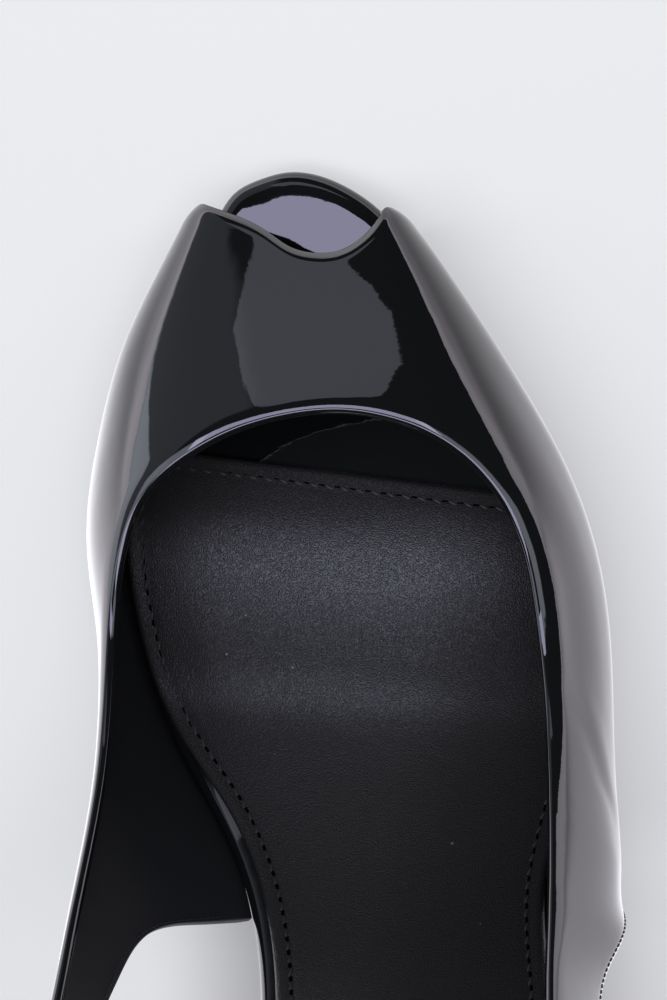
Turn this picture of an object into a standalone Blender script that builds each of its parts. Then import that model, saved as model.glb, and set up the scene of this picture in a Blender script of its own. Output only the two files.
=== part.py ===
"""A right-foot peep toe pump with a sling strap and a slender high heel.

Metres, +Z up, the toe towards +Y, the medial (big toe) side towards -X. The shoe stands on the tread at
its ball and on its heel tip, and the origin lies on the floor under the middle of its box.

The tables are patterns for one size, in millimetres. "back" runs from the toe towards the heel, "x"
from the medial side to the lateral side, and "up" is the height above the foot bed.
"""

import math

import bpy
import numpy as np

# The sizes of this shoe, and those that the patterns are drawn for
SHOE_LENGTH = 215.0
BALL_WIDTH = 81.0
THROAT_HEIGHT = 29.5
HEEL_RISE = 92.0
PATTERN_LENGTH = 215.0
PATTERN_BALL_WIDTH = 81.0
PATTERN_THROAT_HEIGHT = 29.5
PATTERN_HEEL_RISE = 92.0

MILLIMETRE = 0.001
GAP = 0.3
FACET_ALLOWANCE = 0.2
TOE_TO_ORIGIN = 106.6
MIDDLE_X = -0.5

WALL = 1.6
INSOLE_THICKNESS = 4.5
SOCK_THICKNESS = 1.8
SOLE_BASE_DEPTH = 7.95
WAIST_BASE_DEPTH = 7.0
TREAD_BACK = 78.0
WAIST_BACK = 103.0
LIP_RADIUS = 4.0
RIM_RADIUS = 1.8
LIP_ENDS = (8.0, 40.0)
INSOLE_BASE_INSET = 0.25
HEEL_TIP_HEIGHT = 6.0
SLOPE_STEP = 0.5

# The foot bed seen from the side: toe spring, flat ball, arch and heel seat
BALL_BACK = 60.0
BALL_LEVEL = 7.8
BED = {
    "back": (0, 15, 30, 45, 60, 75, 90, 105, 120, 140, 160, 180, 200, 215),
    "height": (9.7, 8.9, 8.1, 7.8, 7.8, 7.9, 9.3, 15.0, 25.5, 44.5, 64.5, 82.0, 94.0, 100.0),
}

# The last, one row for each section across it, from the edge of the sole over the top
LAST_COLUMNS = (
    "back", "feather_m", "side_m", "side_m_up", "shoulder_m", "shoulder_m_up", "top_x", "top_up",
    "shoulder_l", "shoulder_l_up", "side_l", "side_l_up", "feather_l",
)
LAST = (
    (0, -16.2, -17.8, 4.5, -14.8, 11.2, -3.0, 13.4, 8.6, 10.2, 9.0, 4.5, 8.2),
    (12, -24.2, -25.9, 4.5, -20.9, 13.3, -2.4, 16.5, 14.2, 12.4, 16.5, 4.5, 15.5),
    (25, -32.2, -34.0, 5.0, -26.2, 17.4, -2.2, 21.6, 19.2, 16.8, 23.8, 5.0, 22.6),
    (40, -38.0, -39.7, 6.0, -29.8, 22.6, -1.4, 28.8, 24.2, 22.4, 31.5, 6.0, 30.1),
    (57, -41.4, -43.1, 8.0, -33.2, 25.0, -1.0, 33.5, 28.8, 25.6, 38.4, 8.0, 36.5),
    (75, -40.5, -41.6, 11.5, -37.5, 25.5, 0.0, 37.0, 33.0, 24.0, 41.3, 9.5, 39.4),
    (95, -34.6, -39.0, 17.0, -39.4, 31.0, 0.0, 43.0, 33.6, 26.5, 40.9, 13.0, 38.2),
    (115, -24.0, -35.8, 20.5, -41.2, 37.5, 0.0, 50.0, 33.5, 32.5, 41.7, 14.5, 33.0),
    (135, -19.0, -38.4, 23.0, -42.8, 39.0, 0.0, 55.0, 33.2, 34.0, 42.6, 13.5, 28.0),
)

# The top line, from the back of the strap along the medial side, round the throat and back
POINT_COLUMNS = ("x", "back", "height")
TOP_LINE = (
    (0.0, 214.0, 149.0),
    (-17.0, 209.0, 147.5),
    (-31.0, 195.0, 139.5),
    (-39.0, 176.0, 122.5),
    (-42.8, 155.0, 100.0),
    (-43.2, 139.0, 83.0),
    (-41.9, 125.3, 69.5),
    (-40.6, 110.0, 55.0),
    (-39.4, 97.0, 43.5),
    (-38.2, 83.0, 35.0),
    (-36.6, 69.0, 31.5),
    (-33.5, 59.3, 31.5),
    (-29.2, 52.0, 32.5),
    (-22.2, 46.4, 34.5),
    (-12.8, 42.2, 36.5),
    (-4.2, 40.6, 37.4),
    (4.0, 40.6, 37.6),
    (12.4, 42.6, 37.4),
    (19.8, 46.2, 36.3),
    (25.7, 51.4, 34.8),
    (29.7, 58.0, 33.0),
    (32.0, 65.7, 31.8),
    (32.9, 76.0, 31.6),
    (33.5, 89.0, 34.2),
    (33.5, 104.0, 43.8),
    (33.4, 118.0, 56.5),
    (33.4, 131.0, 69.0),
    (33.9, 148.0, 87.5),
    (33.8, 168.0, 111.0),
    (29.5, 190.0, 134.5),
    (16.5, 208.5, 147.2),
)

# The V of the toe opening, from its medial corner to its lateral corner
TOE_OPENING = (
    (-18.1, 3.8, 20.0),
    (-11.8, 6.8, 22.6),
    (-6.4, 10.2, 24.6),
    (-2.5, 13.3, 25.6),
    (1.2, 14.6, 25.9),
    (5.2, 14.7, 25.8),
    (8.5, 13.3, 24.8),
    (11.4, 10.8, 22.8),
    (14.4, 7.7, 20.0),
)
TOE_OPENING_FOOT_M = 6.8
TOE_OPENING_FOOT_L = 9.8

# The lower edge of the strap and the rear edge of each wing, from the back of the strap to the sole
WING_M = (
    (0.0, 212.6, 138.5),
    (-16.6, 207.8, 137.0),
    (-29.8, 194.8, 128.6),
    (-37.2, 177.0, 111.5),
    (-40.6, 156.5, 88.0),
    (-40.2, 140.5, 69.0),
    (-38.0, 128.0, 55.6),
    (-35.2, 122.9, 49.6),
    (-31.6, 120.2, 42.0),
    (-25.5, 120.9, 31.5),
    (-21.2, 122.0, 23.0),
)
WING_L = (
    (0.0, 212.6, 138.5),
    (16.6, 207.2, 137.0),
    (30.0, 190.5, 124.0),
    (35.4, 170.0, 101.0),
    (37.4, 152.0, 77.5),
    (38.6, 137.5, 59.0),
    (40.2, 129.0, 49.5),
    (42.6, 124.8, 43.0),
    (40.8, 122.8, 36.0),
    (36.6, 122.8, 29.0),
    (31.0, 123.6, 23.0),
)

# Where the top line stands opposite the corners of the lower edge
TOP_OVER_WING_M = 99.0
TOP_OVER_TOE_FOOT_M = -21.0
TOP_OVER_TOE_M = -16.0
TOP_OVER_TOE_L = 18.0
TOP_OVER_TOE_FOOT_L = 22.5
TOP_OVER_WING_L = 101.0

# Stations along each part of the upper's lower edge, and shares of the way from there to the top line
BELT_COUNTS = {
    "wing_m": 31,
    "feather_m": 24,
    "foot_m": 3,
    "opening": 14,
    "foot_l": 3,
    "feather_l": 24,
    "wing_l": 31,
}
ACROSS = (0.0, 0.1, 0.22, 0.36, 0.52, 0.68, 0.83, 0.94, 1.0)

# Where the wings leave the last for the strap, and how far the strap bows out round its own middle
STRAP_START = 112.0
STRAP_END = 132.0
STRAP_CENTRE = (0.0, 170.0)
STRAP_BULGE = 0.5

# The bead along the top line: how far each row of it lies out from the face, and how far it rises
BEAD_COLUMNS = ("out", "rise")
BEAD = ((-0.18, 0.12), (-0.5, 0.18), (-0.62, 0.42), (-0.95, 0.72), (-1.35, 0.66), (-1.62, 0.25))

# The outline of the insole: its lip in the toe opening, then what the last leaves inside the upper,
# then the open waist and the heel seat
INSOLE_LIP = ((-5.2, -0.9), (-10.4, -0.2), (-14.5, 1.4), (-17.0, 4.0))
INSOLE_LIP_L = ((0.2, 0.4), (4.6, 2.9), (8.6, 6.2))
INSIDE_LAST = (9.0, 16.0, 25.0, 36.0, 48.0, 60.0, 72.0, 84.0, 96.0, 108.0, 120.0)
OUTLINE_POINTS = 400
INSOLE_REAR_COLUMNS = ("back", "medial", "lateral")
INSOLE_REAR = (
    (135, -17.1, 26.0),
    (150, -17.0, 26.6),
    (165, -18.6, 27.6),
    (180, -20.0, 28.4),
    (192, -19.6, 27.8),
    (202, -16.0, 24.0),
    (209, -9.6, 17.4),
)
HEEL_END = (3.8, 212.6)

SOCK_FRONT_M = (-38.2, 42.2)
SOCK_FRONT_L = (33.2, 58.2)
SOCK_INSET = 1.2
SOCK_WAIST_INSET = 3.2
SOCK_DRAWS_IN = (78.0, 112.0)
SOCK_CORNER = 1.5
SOCK_EDGE = ((-1.5, 0.0), (-0.5, 0.35), (0.0, 0.9))

# The outsole's edge: how far it draws in where no upper stands on it, and where it widens and narrows
SOLE_DRAWN_IN = 1.0
SOLE_WIDENS = (6.0, 14.0)
SOLE_NARROWS = (112.0, 126.0)
SOLE_TOP_BEVEL = 0.3
SOLE_BASE_BEVEL = 0.5
SOLE_TAPER = 0.2

# Faces across and along the flat pieces
PAD_ACROSS = 8
PAD_ALONG = 36
SOCK_ACROSS = 8
SOCK_ALONG = 30

# The heel: each row is a level of it, from the seat down to the tip
HEEL_COLUMNS = ("drop", "middle", "rear_depth", "front_depth", "half_width")
HEEL = (
    (0.0, 188.0, 22.6, 17.0, 21.6),
    (0.07, 188.0, 22.2, 15.0, 20.2),
    (0.16, 188.2, 20.4, 11.6, 16.2),
    (0.28, 188.8, 17.2, 8.4, 11.8),
    (0.42, 189.8, 13.8, 6.6, 8.8),
    (0.58, 191.0, 10.8, 5.6, 7.0),
    (0.78, 192.6, 8.0, 5.0, 5.9),
    (1.0, 194.2, 6.4, 4.8, 5.4),
)
HEEL_X = 3.8
HEEL_SEGMENTS = 28
HEEL_TIP_RINGS = ((HEEL_TIP_HEIGHT, 0.0), (0.4, 0.25), (0.0, -0.15))

PIECE_COLOURS = {
    "outsole": ((0.012, 0.012, 0.013, 1.0), 0.55),
    "insole": ((0.008, 0.008, 0.01, 1.0), 0.12),
    "sock": ((0.013, 0.013, 0.014, 1.0), 0.5),
    "upper": ((0.006, 0.006, 0.008, 1.0), 0.06),
    "heel": ((0.006, 0.006, 0.008, 1.0), 0.06),
    "heel_tip": ((0.01, 0.01, 0.01, 1.0), 0.6),
}


# Curves

def bend_of(knots, values):
    """The second derivatives of natural cubic curves, one row of knots and of values for each curve."""
    count = knots.shape[1]
    gap = np.diff(knots, axis=1)
    matrix = np.tile(np.eye(count), (len(knots), 1, 1))
    right = np.zeros_like(values)
    for k in range(1, count - 1):
        before, after = gap[:, k - 1], gap[:, k]
        matrix[:, k, k - 1] = before
        matrix[:, k, k] = 2 * (before + after)
        matrix[:, k, k + 1] = after
        rise_after = (values[:, k + 1] - values[:, k]) / after[:, None]
        rise_before = (values[:, k] - values[:, k - 1]) / before[:, None]
        right[:, k] = 6 * (rise_after - rise_before)
    return np.linalg.solve(matrix, right)


def read_curves(knots, values, at):
    """Each curve read at its own place: at has one number for each curve."""
    bend = bend_of(knots, values)
    rows = np.arange(len(knots))
    low = np.clip((at[:, None] >= knots).sum(1) - 1, 0, knots.shape[1] - 2)
    gap = (knots[rows, low + 1] - knots[rows, low])[:, None]
    left = (knots[rows, low + 1] - at)[:, None] / gap
    right = 1 - left
    straight = left * values[rows, low] + right * values[rows, low + 1]
    curved = (left**3 - left) * bend[rows, low] + (right**3 - right) * bend[rows, low + 1]
    return straight + curved * gap**2 / 6


def read_curve(knots, values, at):
    """One curve read at many places."""
    at = np.atleast_1d(np.asarray(at, float))
    knots = np.asarray(knots, float)[None]
    values = np.asarray(values, float)
    values = values.reshape(1, len(values), -1)
    count = len(at)
    return read_curves(np.repeat(knots, count, 0), np.repeat(values, count, 0), at)


def lengths_along(points):
    return np.concatenate([[0.0], np.cumsum(np.linalg.norm(np.diff(points, axis=0), axis=1))])


def unit(vectors):
    return vectors / np.linalg.norm(vectors, axis=-1)[..., None]


def smooth_step(low, high, at):
    share = np.clip((np.asarray(at, float) - low) / (high - low), 0, 1)
    return share**3 * (share * (share * 6 - 15) + 10)


# Grading from the pattern to this shoe

LENGTH_SCALE = SHOE_LENGTH / PATTERN_LENGTH
WIDTH_SCALE = BALL_WIDTH / PATTERN_BALL_WIDTH
THROAT_SCALE = THROAT_HEIGHT / PATTERN_THROAT_HEIGHT
RISE_SCALE = HEEL_RISE / PATTERN_HEEL_RISE


def world(points):
    """Pattern points (x, back, height) as points of the shoe in metres."""
    points = np.asarray(points, float)
    x = (points[..., 0] - MIDDLE_X) * WIDTH_SCALE
    y = (TOE_TO_ORIGIN - points[..., 1]) * LENGTH_SCALE
    return np.stack([x, y, points[..., 2]], -1) * MILLIMETRE


# The foot bed and the last

def bed_height(back):
    height = read_curve(BED["back"], BED["height"], back)[:, 0]
    scale = np.where(np.asarray(back) > BALL_BACK, RISE_SCALE, 1.0)
    return BALL_LEVEL + (height - BALL_LEVEL) * scale


def bed_slope(back):
    back = np.asarray(back, float)
    rise = bed_height(back + SLOPE_STEP) - bed_height(back - SLOPE_STEP)
    return np.arctan(rise / (2 * SLOPE_STEP))


def on_bed(x, back, down):
    """The point under a place of the bed's plan, on a layer that lies down millimetres below the bed."""
    x, back, down = np.broadcast_arrays(*(np.asarray(value, float) for value in (x, back, down)))
    flat = back.ravel()
    slope = bed_slope(flat).reshape(back.shape)
    height = bed_height(flat).reshape(back.shape)
    return np.stack([x, back, height - down / np.cos(slope)], -1)


def last_keys(back):
    """The seven points that each section of the last runs through, from one feather edge to the other."""
    table = np.array(LAST, float)
    read = read_curve(table[:, 0], table[:, 1:], back)
    row = {name: read[:, place] for place, name in enumerate(LAST_COLUMNS[1:])}
    bed = bed_height(back)
    feather = bed - INSOLE_THICKNESS / np.cos(bed_slope(back))
    keys = [(row["feather_m"], feather)]
    for name in ("side_m", "shoulder_m"):
        keys.append((row[name], bed + row[name + "_up"] * THROAT_SCALE))
    keys.append((row["top_x"], bed + row["top_up"] * THROAT_SCALE))
    for name in ("shoulder_l", "side_l"):
        keys.append((row[name], bed + row[name + "_up"] * THROAT_SCALE))
    keys.append((row["feather_l"], feather))
    return np.stack([np.stack(key, -1) for key in keys], 1)


def last_point(back, turn):
    """A point of the last: turn is -1 at the medial feather edge, 0 on top and 1 at the lateral one."""
    back = np.asarray(back, float).ravel()
    turn = np.asarray(turn, float).ravel()
    keys = last_keys(back)
    steps = np.linalg.norm(np.diff(keys, axis=1), axis=2)
    knots = np.concatenate([np.zeros((len(back), 1)), np.cumsum(steps, axis=1)], axis=1)
    top, end = knots[:, 3], knots[:, 6]
    at = np.where(turn < 0, top * (1 + turn), top + (end - top) * turn)
    found = read_curves(knots, keys, at)
    return np.stack([found[:, 0], back, found[:, 1]], -1)


def nearest_turn(points):
    """The turn at which the last's section through each point comes nearest to it."""
    turns = np.linspace(-1, 1, 81)
    count = len(points)
    grid = last_point(np.repeat(points[:, 1], len(turns)), np.tile(turns, count)).reshape(count, -1, 3)
    far = np.linalg.norm(grid - points[:, None], axis=2)
    best = turns[far.argmin(1)]
    reach = turns[1] - turns[0]
    for _ in range(22):
        low = np.clip(best - reach / 3, -1, 1)
        high = np.clip(best + reach / 3, -1, 1)
        far_low = np.linalg.norm(last_point(points[:, 1], low) - points, axis=1)
        far_high = np.linalg.norm(last_point(points[:, 1], high) - points, axis=1)
        best = np.where(far_low < far_high, low, high)
        reach *= 0.67
    return best


# The upper, as a belt from its lower edge to its top line

def top_line(shares):
    """Points of the closed top line at shares of its length."""
    rows = np.array(TOP_LINE, float)
    wrapped = np.concatenate([rows[-3:], rows, rows[:4]])
    knots = lengths_along(wrapped)
    start, end = knots[3], knots[3 + len(rows)]
    return read_curve(knots, wrapped, start + (end - start) * np.asarray(shares))


def top_share(side, column, value):
    """The share of the top line's length, on one side, at which a column comes nearest to a value."""
    shares = np.linspace(0, 0.5, 1500) if side == "medial" else np.linspace(1, 0.5, 1500)
    points = top_line(shares)
    far = np.abs(points[:, POINT_COLUMNS.index(column)] - value)
    far[points[:, 1] > STRAP_START] = np.inf
    return shares[far.argmin()]


def along(points, shares):
    """An open curve through the points, read at shares of its length."""
    points = np.array(points, float)
    knots = lengths_along(points)
    return read_curve(knots, points, np.asarray(shares) * knots[-1])


def feather_line(side, start, end, shares):
    """The lower edge of the upper where it stands on the sole, from one place along the shoe to another."""
    back = start + (end - start) * np.asarray(shares)
    return last_point(back, np.full(len(back), -1.0 if side == "medial" else 1.0))


def toe_foot(side):
    """The short edge from the sole up to a corner of the toe opening."""
    foot_back = TOE_OPENING_FOOT_M if side == "medial" else TOE_OPENING_FOOT_L
    corner = np.array(TOE_OPENING[0 if side == "medial" else -1], float)
    foot = last_point([foot_back], [-1.0 if side == "medial" else 1.0])[0]
    middle_back = (foot_back + corner[1]) / 2
    corner_turn = nearest_turn(corner[None])[0]
    foot_turn = -1.0 if side == "medial" else 1.0
    middle = last_point([middle_back], [(corner_turn + foot_turn) / 2])[0]
    return np.array([foot, middle, last_point([corner[1]], [corner_turn])[0]])


def belt_parts():
    """The parts of the belt in order: name, lower edge as a function, and the top line's two shares."""
    wing_m = top_share("medial", "back", TOP_OVER_WING_M)
    foot_m = top_share("medial", "x", TOP_OVER_TOE_FOOT_M)
    corner_m = top_share("medial", "x", TOP_OVER_TOE_M)
    corner_l = top_share("lateral", "x", TOP_OVER_TOE_L)
    foot_l = top_share("lateral", "x", TOP_OVER_TOE_FOOT_L)
    wing_l = top_share("lateral", "back", TOP_OVER_WING_L)
    front_m, rear_m = TOE_OPENING_FOOT_M, WING_M[-1][1]
    front_l, rear_l = TOE_OPENING_FOOT_L, WING_L[-1][1]
    return (
        ("wing_m", lambda share: along(WING_M, share), 0.0, wing_m),
        ("feather_m", lambda share: feather_line("medial", rear_m, front_m, share), wing_m, foot_m),
        ("foot_m", lambda share: along(toe_foot("medial"), share), foot_m, corner_m),
        ("opening", lambda share: along(TOE_OPENING, share), corner_m, corner_l),
        ("foot_l", lambda share: along(toe_foot("lateral")[::-1], share), corner_l, foot_l),
        ("feather_l", lambda share: feather_line("lateral", front_l, rear_l, share), foot_l, wing_l),
        ("wing_l", lambda share: along(WING_L[::-1], share), wing_l, 1.0),
    )


def belt_edges(counts):
    """The lower edge and the top line at every station round the belt."""
    lower, upper = [], []
    for name, edge, start, end in belt_parts():
        share = np.arange(counts[name]) / counts[name]
        lower.append(edge(share))
        upper.append(top_line(start + (end - start) * share))
    return np.concatenate(lower), np.concatenate(upper)


def belt_surface(lower, upper, across):
    """The outer face: rows across the belt (0 at the lower edge, 1 at the top line), columns round it."""
    on_last = lower[:, 1] < LAST[-1][0] + 5
    lower_turn, upper_turn = np.zeros(len(lower)), np.zeros(len(lower))
    lower_turn[on_last] = nearest_turn(lower[on_last])
    upper_turn[on_last] = nearest_turn(upper[on_last])
    lasted = 1 - smooth_step(STRAP_START, STRAP_END, (lower[:, 1] + upper[:, 1]) / 2)
    lasted[~on_last] = 0
    side = np.sign(upper[:, 0] - HEEL_X)
    rows = []
    for share in across:
        straight = lower * (1 - share) + upper * share
        out = unit(straight[:, :2] - np.array(STRAP_CENTRE))
        straight[:, :2] += out * STRAP_BULGE * 4 * share * (1 - share)
        back = lower[:, 1] * (1 - share) + upper[:, 1] * share
        turn = lower_turn * (1 - share) + upper_turn * share
        last = last_point(np.where(on_last, back, BALL_BACK), np.clip(turn, -1, 1))
        rows.append(last * lasted[:, None] + straight * (1 - lasted[:, None]))
    return np.stack(rows)


def belt_frames(face):
    """Across and outward directions at each point of the belt's face."""
    round_it = np.roll(face, -1, axis=1) - np.roll(face, 1, axis=1)
    across = np.gradient(face, axis=0)
    outward = unit(np.cross(round_it, across))
    return unit(across), outward


def upper_section(face):
    """The closed ring of each station: outer face, bead along the top line, inner face, lower edge."""
    across, outward = belt_frames(face)
    inner = face - outward * WALL
    sole_level = on_bed(face[0, :, 0], face[0, :, 1], INSOLE_THICKNESS)[:, 2]
    on_sole = face[0, :, 2] < sole_level + GAP
    inner[0, on_sole, 2] = np.maximum(inner[0, on_sole, 2], face[0, on_sole, 2])
    top, up, out = face[-1], across[-1], outward[-1]
    bead = [top + out * reach + up * rise for reach, rise in BEAD]
    return np.concatenate([face, np.stack(bead), inner[::-1]])


# Meshes

def new_object(name, points, faces):
    mesh = bpy.data.meshes.new(name)
    mesh.from_pydata([tuple(point) for point in points], [], faces)
    mesh.validate()
    mesh.shade_smooth()
    mesh.set_sharp_from_angle(angle=math.radians(40))
    piece = bpy.data.objects.new(name, mesh)
    colour, roughness = PIECE_COLOURS[name]
    material = bpy.data.materials.new(name)
    material.use_nodes = True
    shader = material.node_tree.nodes["Principled BSDF"]
    shader.inputs["Base Color"].default_value = colour
    shader.inputs["Roughness"].default_value = roughness
    mesh.materials.append(material)
    PUMP.objects.link(piece)
    return piece


def ring_faces(rows, columns, close_rows):
    """Quads of a grid of points that closes round its columns, and round its rows too if asked."""
    faces = []
    for row in range(rows if close_rows else rows - 1):
        for column in range(columns):
            after, beside = (row + 1) % rows, (column + 1) % columns
            faces.append((
                row * columns + column,
                after * columns + column,
                after * columns + beside,
                row * columns + beside,
            ))
    return faces


def make_upper():
    lower, upper = belt_edges(BELT_COUNTS)
    section = upper_section(belt_surface(lower, upper, ACROSS))
    rows, columns = section.shape[:2]
    return new_object("upper", world(section.reshape(-1, 3)), ring_faces(rows, columns, True))


# Flat pieces that follow the bed: a patch inside an outline, with a rim round it

def closed_outline(points, count):
    """A smooth closed line through plan points, as count points evenly along it."""
    points = np.array(points, float)
    wrapped = np.concatenate([points[-3:], points, points[:4]])
    knots = lengths_along(wrapped)
    start, end = knots[3], knots[3 + len(points)]
    return read_curve(knots, wrapped, start + (end - start) * np.arange(count) / count)


def feather_inset(column, backs, inward):
    """Plan points inside the wall of the upper, square to the edge that stands on the sole."""
    table = np.array(LAST, float)
    edge = read_curve(table[:, 0], table[:, column], backs)[:, 0]
    slope = (read_curve(table[:, 0], table[:, column], backs + SLOPE_STEP)[:, 0] - edge) / SLOPE_STEP
    reach = (WALL + GAP + FACET_ALLOWANCE) / np.hypot(1, slope)
    return list(zip(edge + inward * reach, backs - inward * reach * slope))


def insole_outline():
    """The insole's edge in plan, from the front of its lip down the medial side and back up the other."""
    backs = np.array(INSIDE_LAST)
    medial = [*INSOLE_LIP, *feather_inset(LAST_COLUMNS.index("feather_m"), backs, 1)]
    medial += [(row[1], row[0]) for row in INSOLE_REAR]
    lateral = [*INSOLE_LIP_L, *feather_inset(LAST_COLUMNS.index("feather_l"), backs[1:], -1)]
    lateral += [(row[2], row[0]) for row in INSOLE_REAR]
    return closed_outline([*medial, HEEL_END, *lateral[::-1]], OUTLINE_POINTS)


def outline_normals(outline):
    tangent = unit(np.roll(outline, -1, axis=0) - np.roll(outline, 1, axis=0))
    return np.stack([-tangent[:, 1], tangent[:, 0]], -1)


def outset(outline, distance):
    return outline + outline_normals(outline) * np.asarray(distance).reshape(-1, 1)


def patch_grid(loop, across, along_it):
    """A grid of points inside a closed loop whose first point is the middle of the front side."""
    half = across // 2
    loop = np.roll(loop, half, axis=0)
    front = loop[:across + 1][::-1]
    medial = loop[across:across + along_it + 1]
    rear = loop[across + along_it:2 * across + along_it + 1]
    lateral = np.concatenate([loop[2 * across + along_it:], loop[:1]])[::-1]
    grid = np.zeros((along_it + 1, across + 1, loop.shape[1]))
    for row in range(along_it + 1):
        down = row / along_it
        for column in range(across + 1):
            over = column / across
            sides = medial[row] * (1 - over) + lateral[row] * over
            ends = front[column] * (1 - down) + rear[column] * down
            corners = (
                (front[0] * (1 - over) + front[-1] * over) * (1 - down)
                + (rear[0] * (1 - over) + rear[-1] * over) * down
            )
            grid[row, column] = sides + ends - corners
    return grid


def pad_piece(name, outline, rim, across, along_it):
    """A slab that follows the bed: rim rows are (outset, depth) from its top edge to its base edge."""
    total = 2 * (across + along_it)
    loops = []
    for out, depth in rim:
        line = outset(outline, out)
        loops.append(on_bed(line[:, 0], line[:, 1], depth))
    points = list(np.concatenate(loops))
    faces = ring_faces(len(loops), total, False)
    for row, upside_down in ((0, False), (len(loops) - 1, True)):
        grid = patch_grid(outset(outline, rim[row][0]), across, along_it)
        depth = patch_grid(np.broadcast_to(rim[row][1], total).reshape(-1, 1), across, along_it)[..., 0]
        placed = on_bed(grid[..., 0], grid[..., 1], depth)
        index = patch_grid(np.arange(total).reshape(-1, 1) + row * total, across, along_it)[..., 0]
        index = np.rint(index).astype(int)
        for line in range(1, along_it):
            for column in range(1, across):
                index[line, column] = len(points)
                points.append(placed[line, column])
        for line in range(along_it):
            for column in range(across):
                face = (
                    index[line, column], index[line + 1, column],
                    index[line + 1, column + 1], index[line, column + 1],
                )
                faces.append([int(i) for i in (face[::-1] if upside_down else face)])
    points = np.array(points)
    points[:, 2] = np.maximum(points[:, 2], 0)
    return new_object(name, world(points), faces)


def resample(outline, count):
    wrapped = np.concatenate([outline, outline[:1]])
    knots = lengths_along(wrapped)
    at = knots[-1] * np.arange(count) / count
    return np.stack([np.interp(at, knots, wrapped[:, axis]) for axis in range(outline.shape[1])], -1)


def make_insole():
    outline = resample(insole_outline(), 2 * (PAD_ACROSS + PAD_ALONG))
    radius = RIM_RADIUS + (LIP_RADIUS - RIM_RADIUS) * (1 - smooth_step(*LIP_ENDS, outline[:, 1]))
    rim = []
    for angle in (0.0, 30.0, 60.0, 90.0):
        turn = math.radians(angle)
        rim.append((-radius * (1 - math.sin(turn)), radius * (1 - math.cos(turn))))
    rim.append((-INSOLE_BASE_INSET, INSOLE_THICKNESS))
    return pad_piece("insole", outline, rim, PAD_ACROSS, PAD_ALONG)


def sole_base(back):
    """The depth of the sole's underside: the sole thins behind the tread."""
    thin = smooth_step(TREAD_BACK, WAIST_BACK, back)
    return SOLE_BASE_DEPTH + (WAIST_BASE_DEPTH - SOLE_BASE_DEPTH) * thin


def make_outsole():
    """The sole stands out to the upper's outer face where the upper stands on it, and draws in elsewhere."""
    outline = resample(insole_outline(), 2 * (PAD_ACROSS + PAD_ALONG))
    back = outline[:, 1]
    lasted = smooth_step(*SOLE_WIDENS, back) * (1 - smooth_step(*SOLE_NARROWS, back))
    out = -SOLE_DRAWN_IN + (SOLE_DRAWN_IN + WALL) * lasted
    top = INSOLE_THICKNESS + GAP + FACET_ALLOWANCE
    base = sole_base(back)
    rim = [
        (out - SOLE_TOP_BEVEL, top),
        (out, top + SOLE_TOP_BEVEL),
        (out - SOLE_TAPER, base - SOLE_BASE_BEVEL),
        (out - SOLE_TAPER - SOLE_BASE_BEVEL, base),
    ]
    return pad_piece("outsole", outline, rim, PAD_ACROSS, PAD_ALONG)


def sock_outline():
    """The sock's edge: straight across the front, then inside the insole's edge to the heel."""
    edge = insole_outline()
    heel = int(np.argmin(np.linalg.norm(edge - np.array(HEEL_END), axis=1)))
    inset = SOCK_INSET + (SOCK_WAIST_INSET - SOCK_INSET) * smooth_step(*SOCK_DRAWS_IN, edge[:, 1])
    inner = outset(edge, -inset)
    medial = inner[:heel][inner[:heel, 1] > SOCK_FRONT_M[1] + SOCK_CORNER]
    lateral = inner[heel:][inner[heel:, 1] > SOCK_FRONT_L[1] + SOCK_CORNER]
    start = np.array([medial[0][0], SOCK_FRONT_M[1]])
    end = np.array([lateral[-1][0], SOCK_FRONT_L[1]])
    share = np.arange(SOCK_ACROSS) / SOCK_ACROSS
    front = end + (start - end) * share[:, None]
    sides = np.concatenate([start[None], medial, lateral, end[None]])
    knots = lengths_along(sides)
    count = SOCK_ACROSS + 2 * SOCK_ALONG
    at = knots[-1] * np.arange(count) / count
    round_it = np.stack([np.interp(at, knots, sides[:, axis]) for axis in (0, 1)], -1)
    loop = np.concatenate([front, round_it])
    return np.roll(loop, -(SOCK_ACROSS // 2), axis=0)


def make_sock():
    outline = sock_outline()
    base = -(GAP + FACET_ALLOWANCE)
    rim = [(out, base - SOCK_THICKNESS + drop) for out, drop in SOCK_EDGE]
    rim.append((0.0, base))
    return pad_piece("sock", outline, rim, SOCK_ACROSS, SOCK_ALONG)


def heel_rings():
    """The rings of the heel, from the underside of the sole at the seat down to its tip."""
    rings = []
    turns = np.arange(HEEL_SEGMENTS) * 2 * math.pi / HEEL_SEGMENTS
    foot = HEEL_TIP_HEIGHT + GAP
    for drop, middle, rear_depth, front_depth, half_width in HEEL:
        reach = np.where(np.cos(turns) > 0, rear_depth, front_depth)
        back = middle + reach * np.cos(turns)
        x = HEEL_X + half_width * np.sin(turns)
        seat = on_bed(x, back, sole_base(back) + GAP + FACET_ALLOWANCE)[:, 2]
        rings.append(np.stack([x, back, foot + (seat - foot) * (1 - drop)], -1))
    return rings


def make_heel():
    rings = heel_rings()
    points = list(np.concatenate(rings))
    faces = ring_faces(len(rings), HEEL_SEGMENTS, False)
    top = rings[0]
    inner = top.mean(0) + (top - top.mean(0)) * 0.5
    depth = sole_base(inner[:, 1]) + GAP + FACET_ALLOWANCE
    inner[:, 2] = on_bed(inner[:, 0], inner[:, 1], depth)[:, 2]
    start = len(points)
    points.extend(inner)
    for k in range(HEEL_SEGMENTS):
        beside = (k + 1) % HEEL_SEGMENTS
        faces.append((k, beside, start + beside, start + k))
    faces.append(tuple(range(start, start + HEEL_SEGMENTS)))
    last = (len(rings) - 1) * HEEL_SEGMENTS
    faces.append(tuple(last + k for k in reversed(range(HEEL_SEGMENTS))))
    return new_object("heel", world(np.array(points)), faces)


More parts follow.
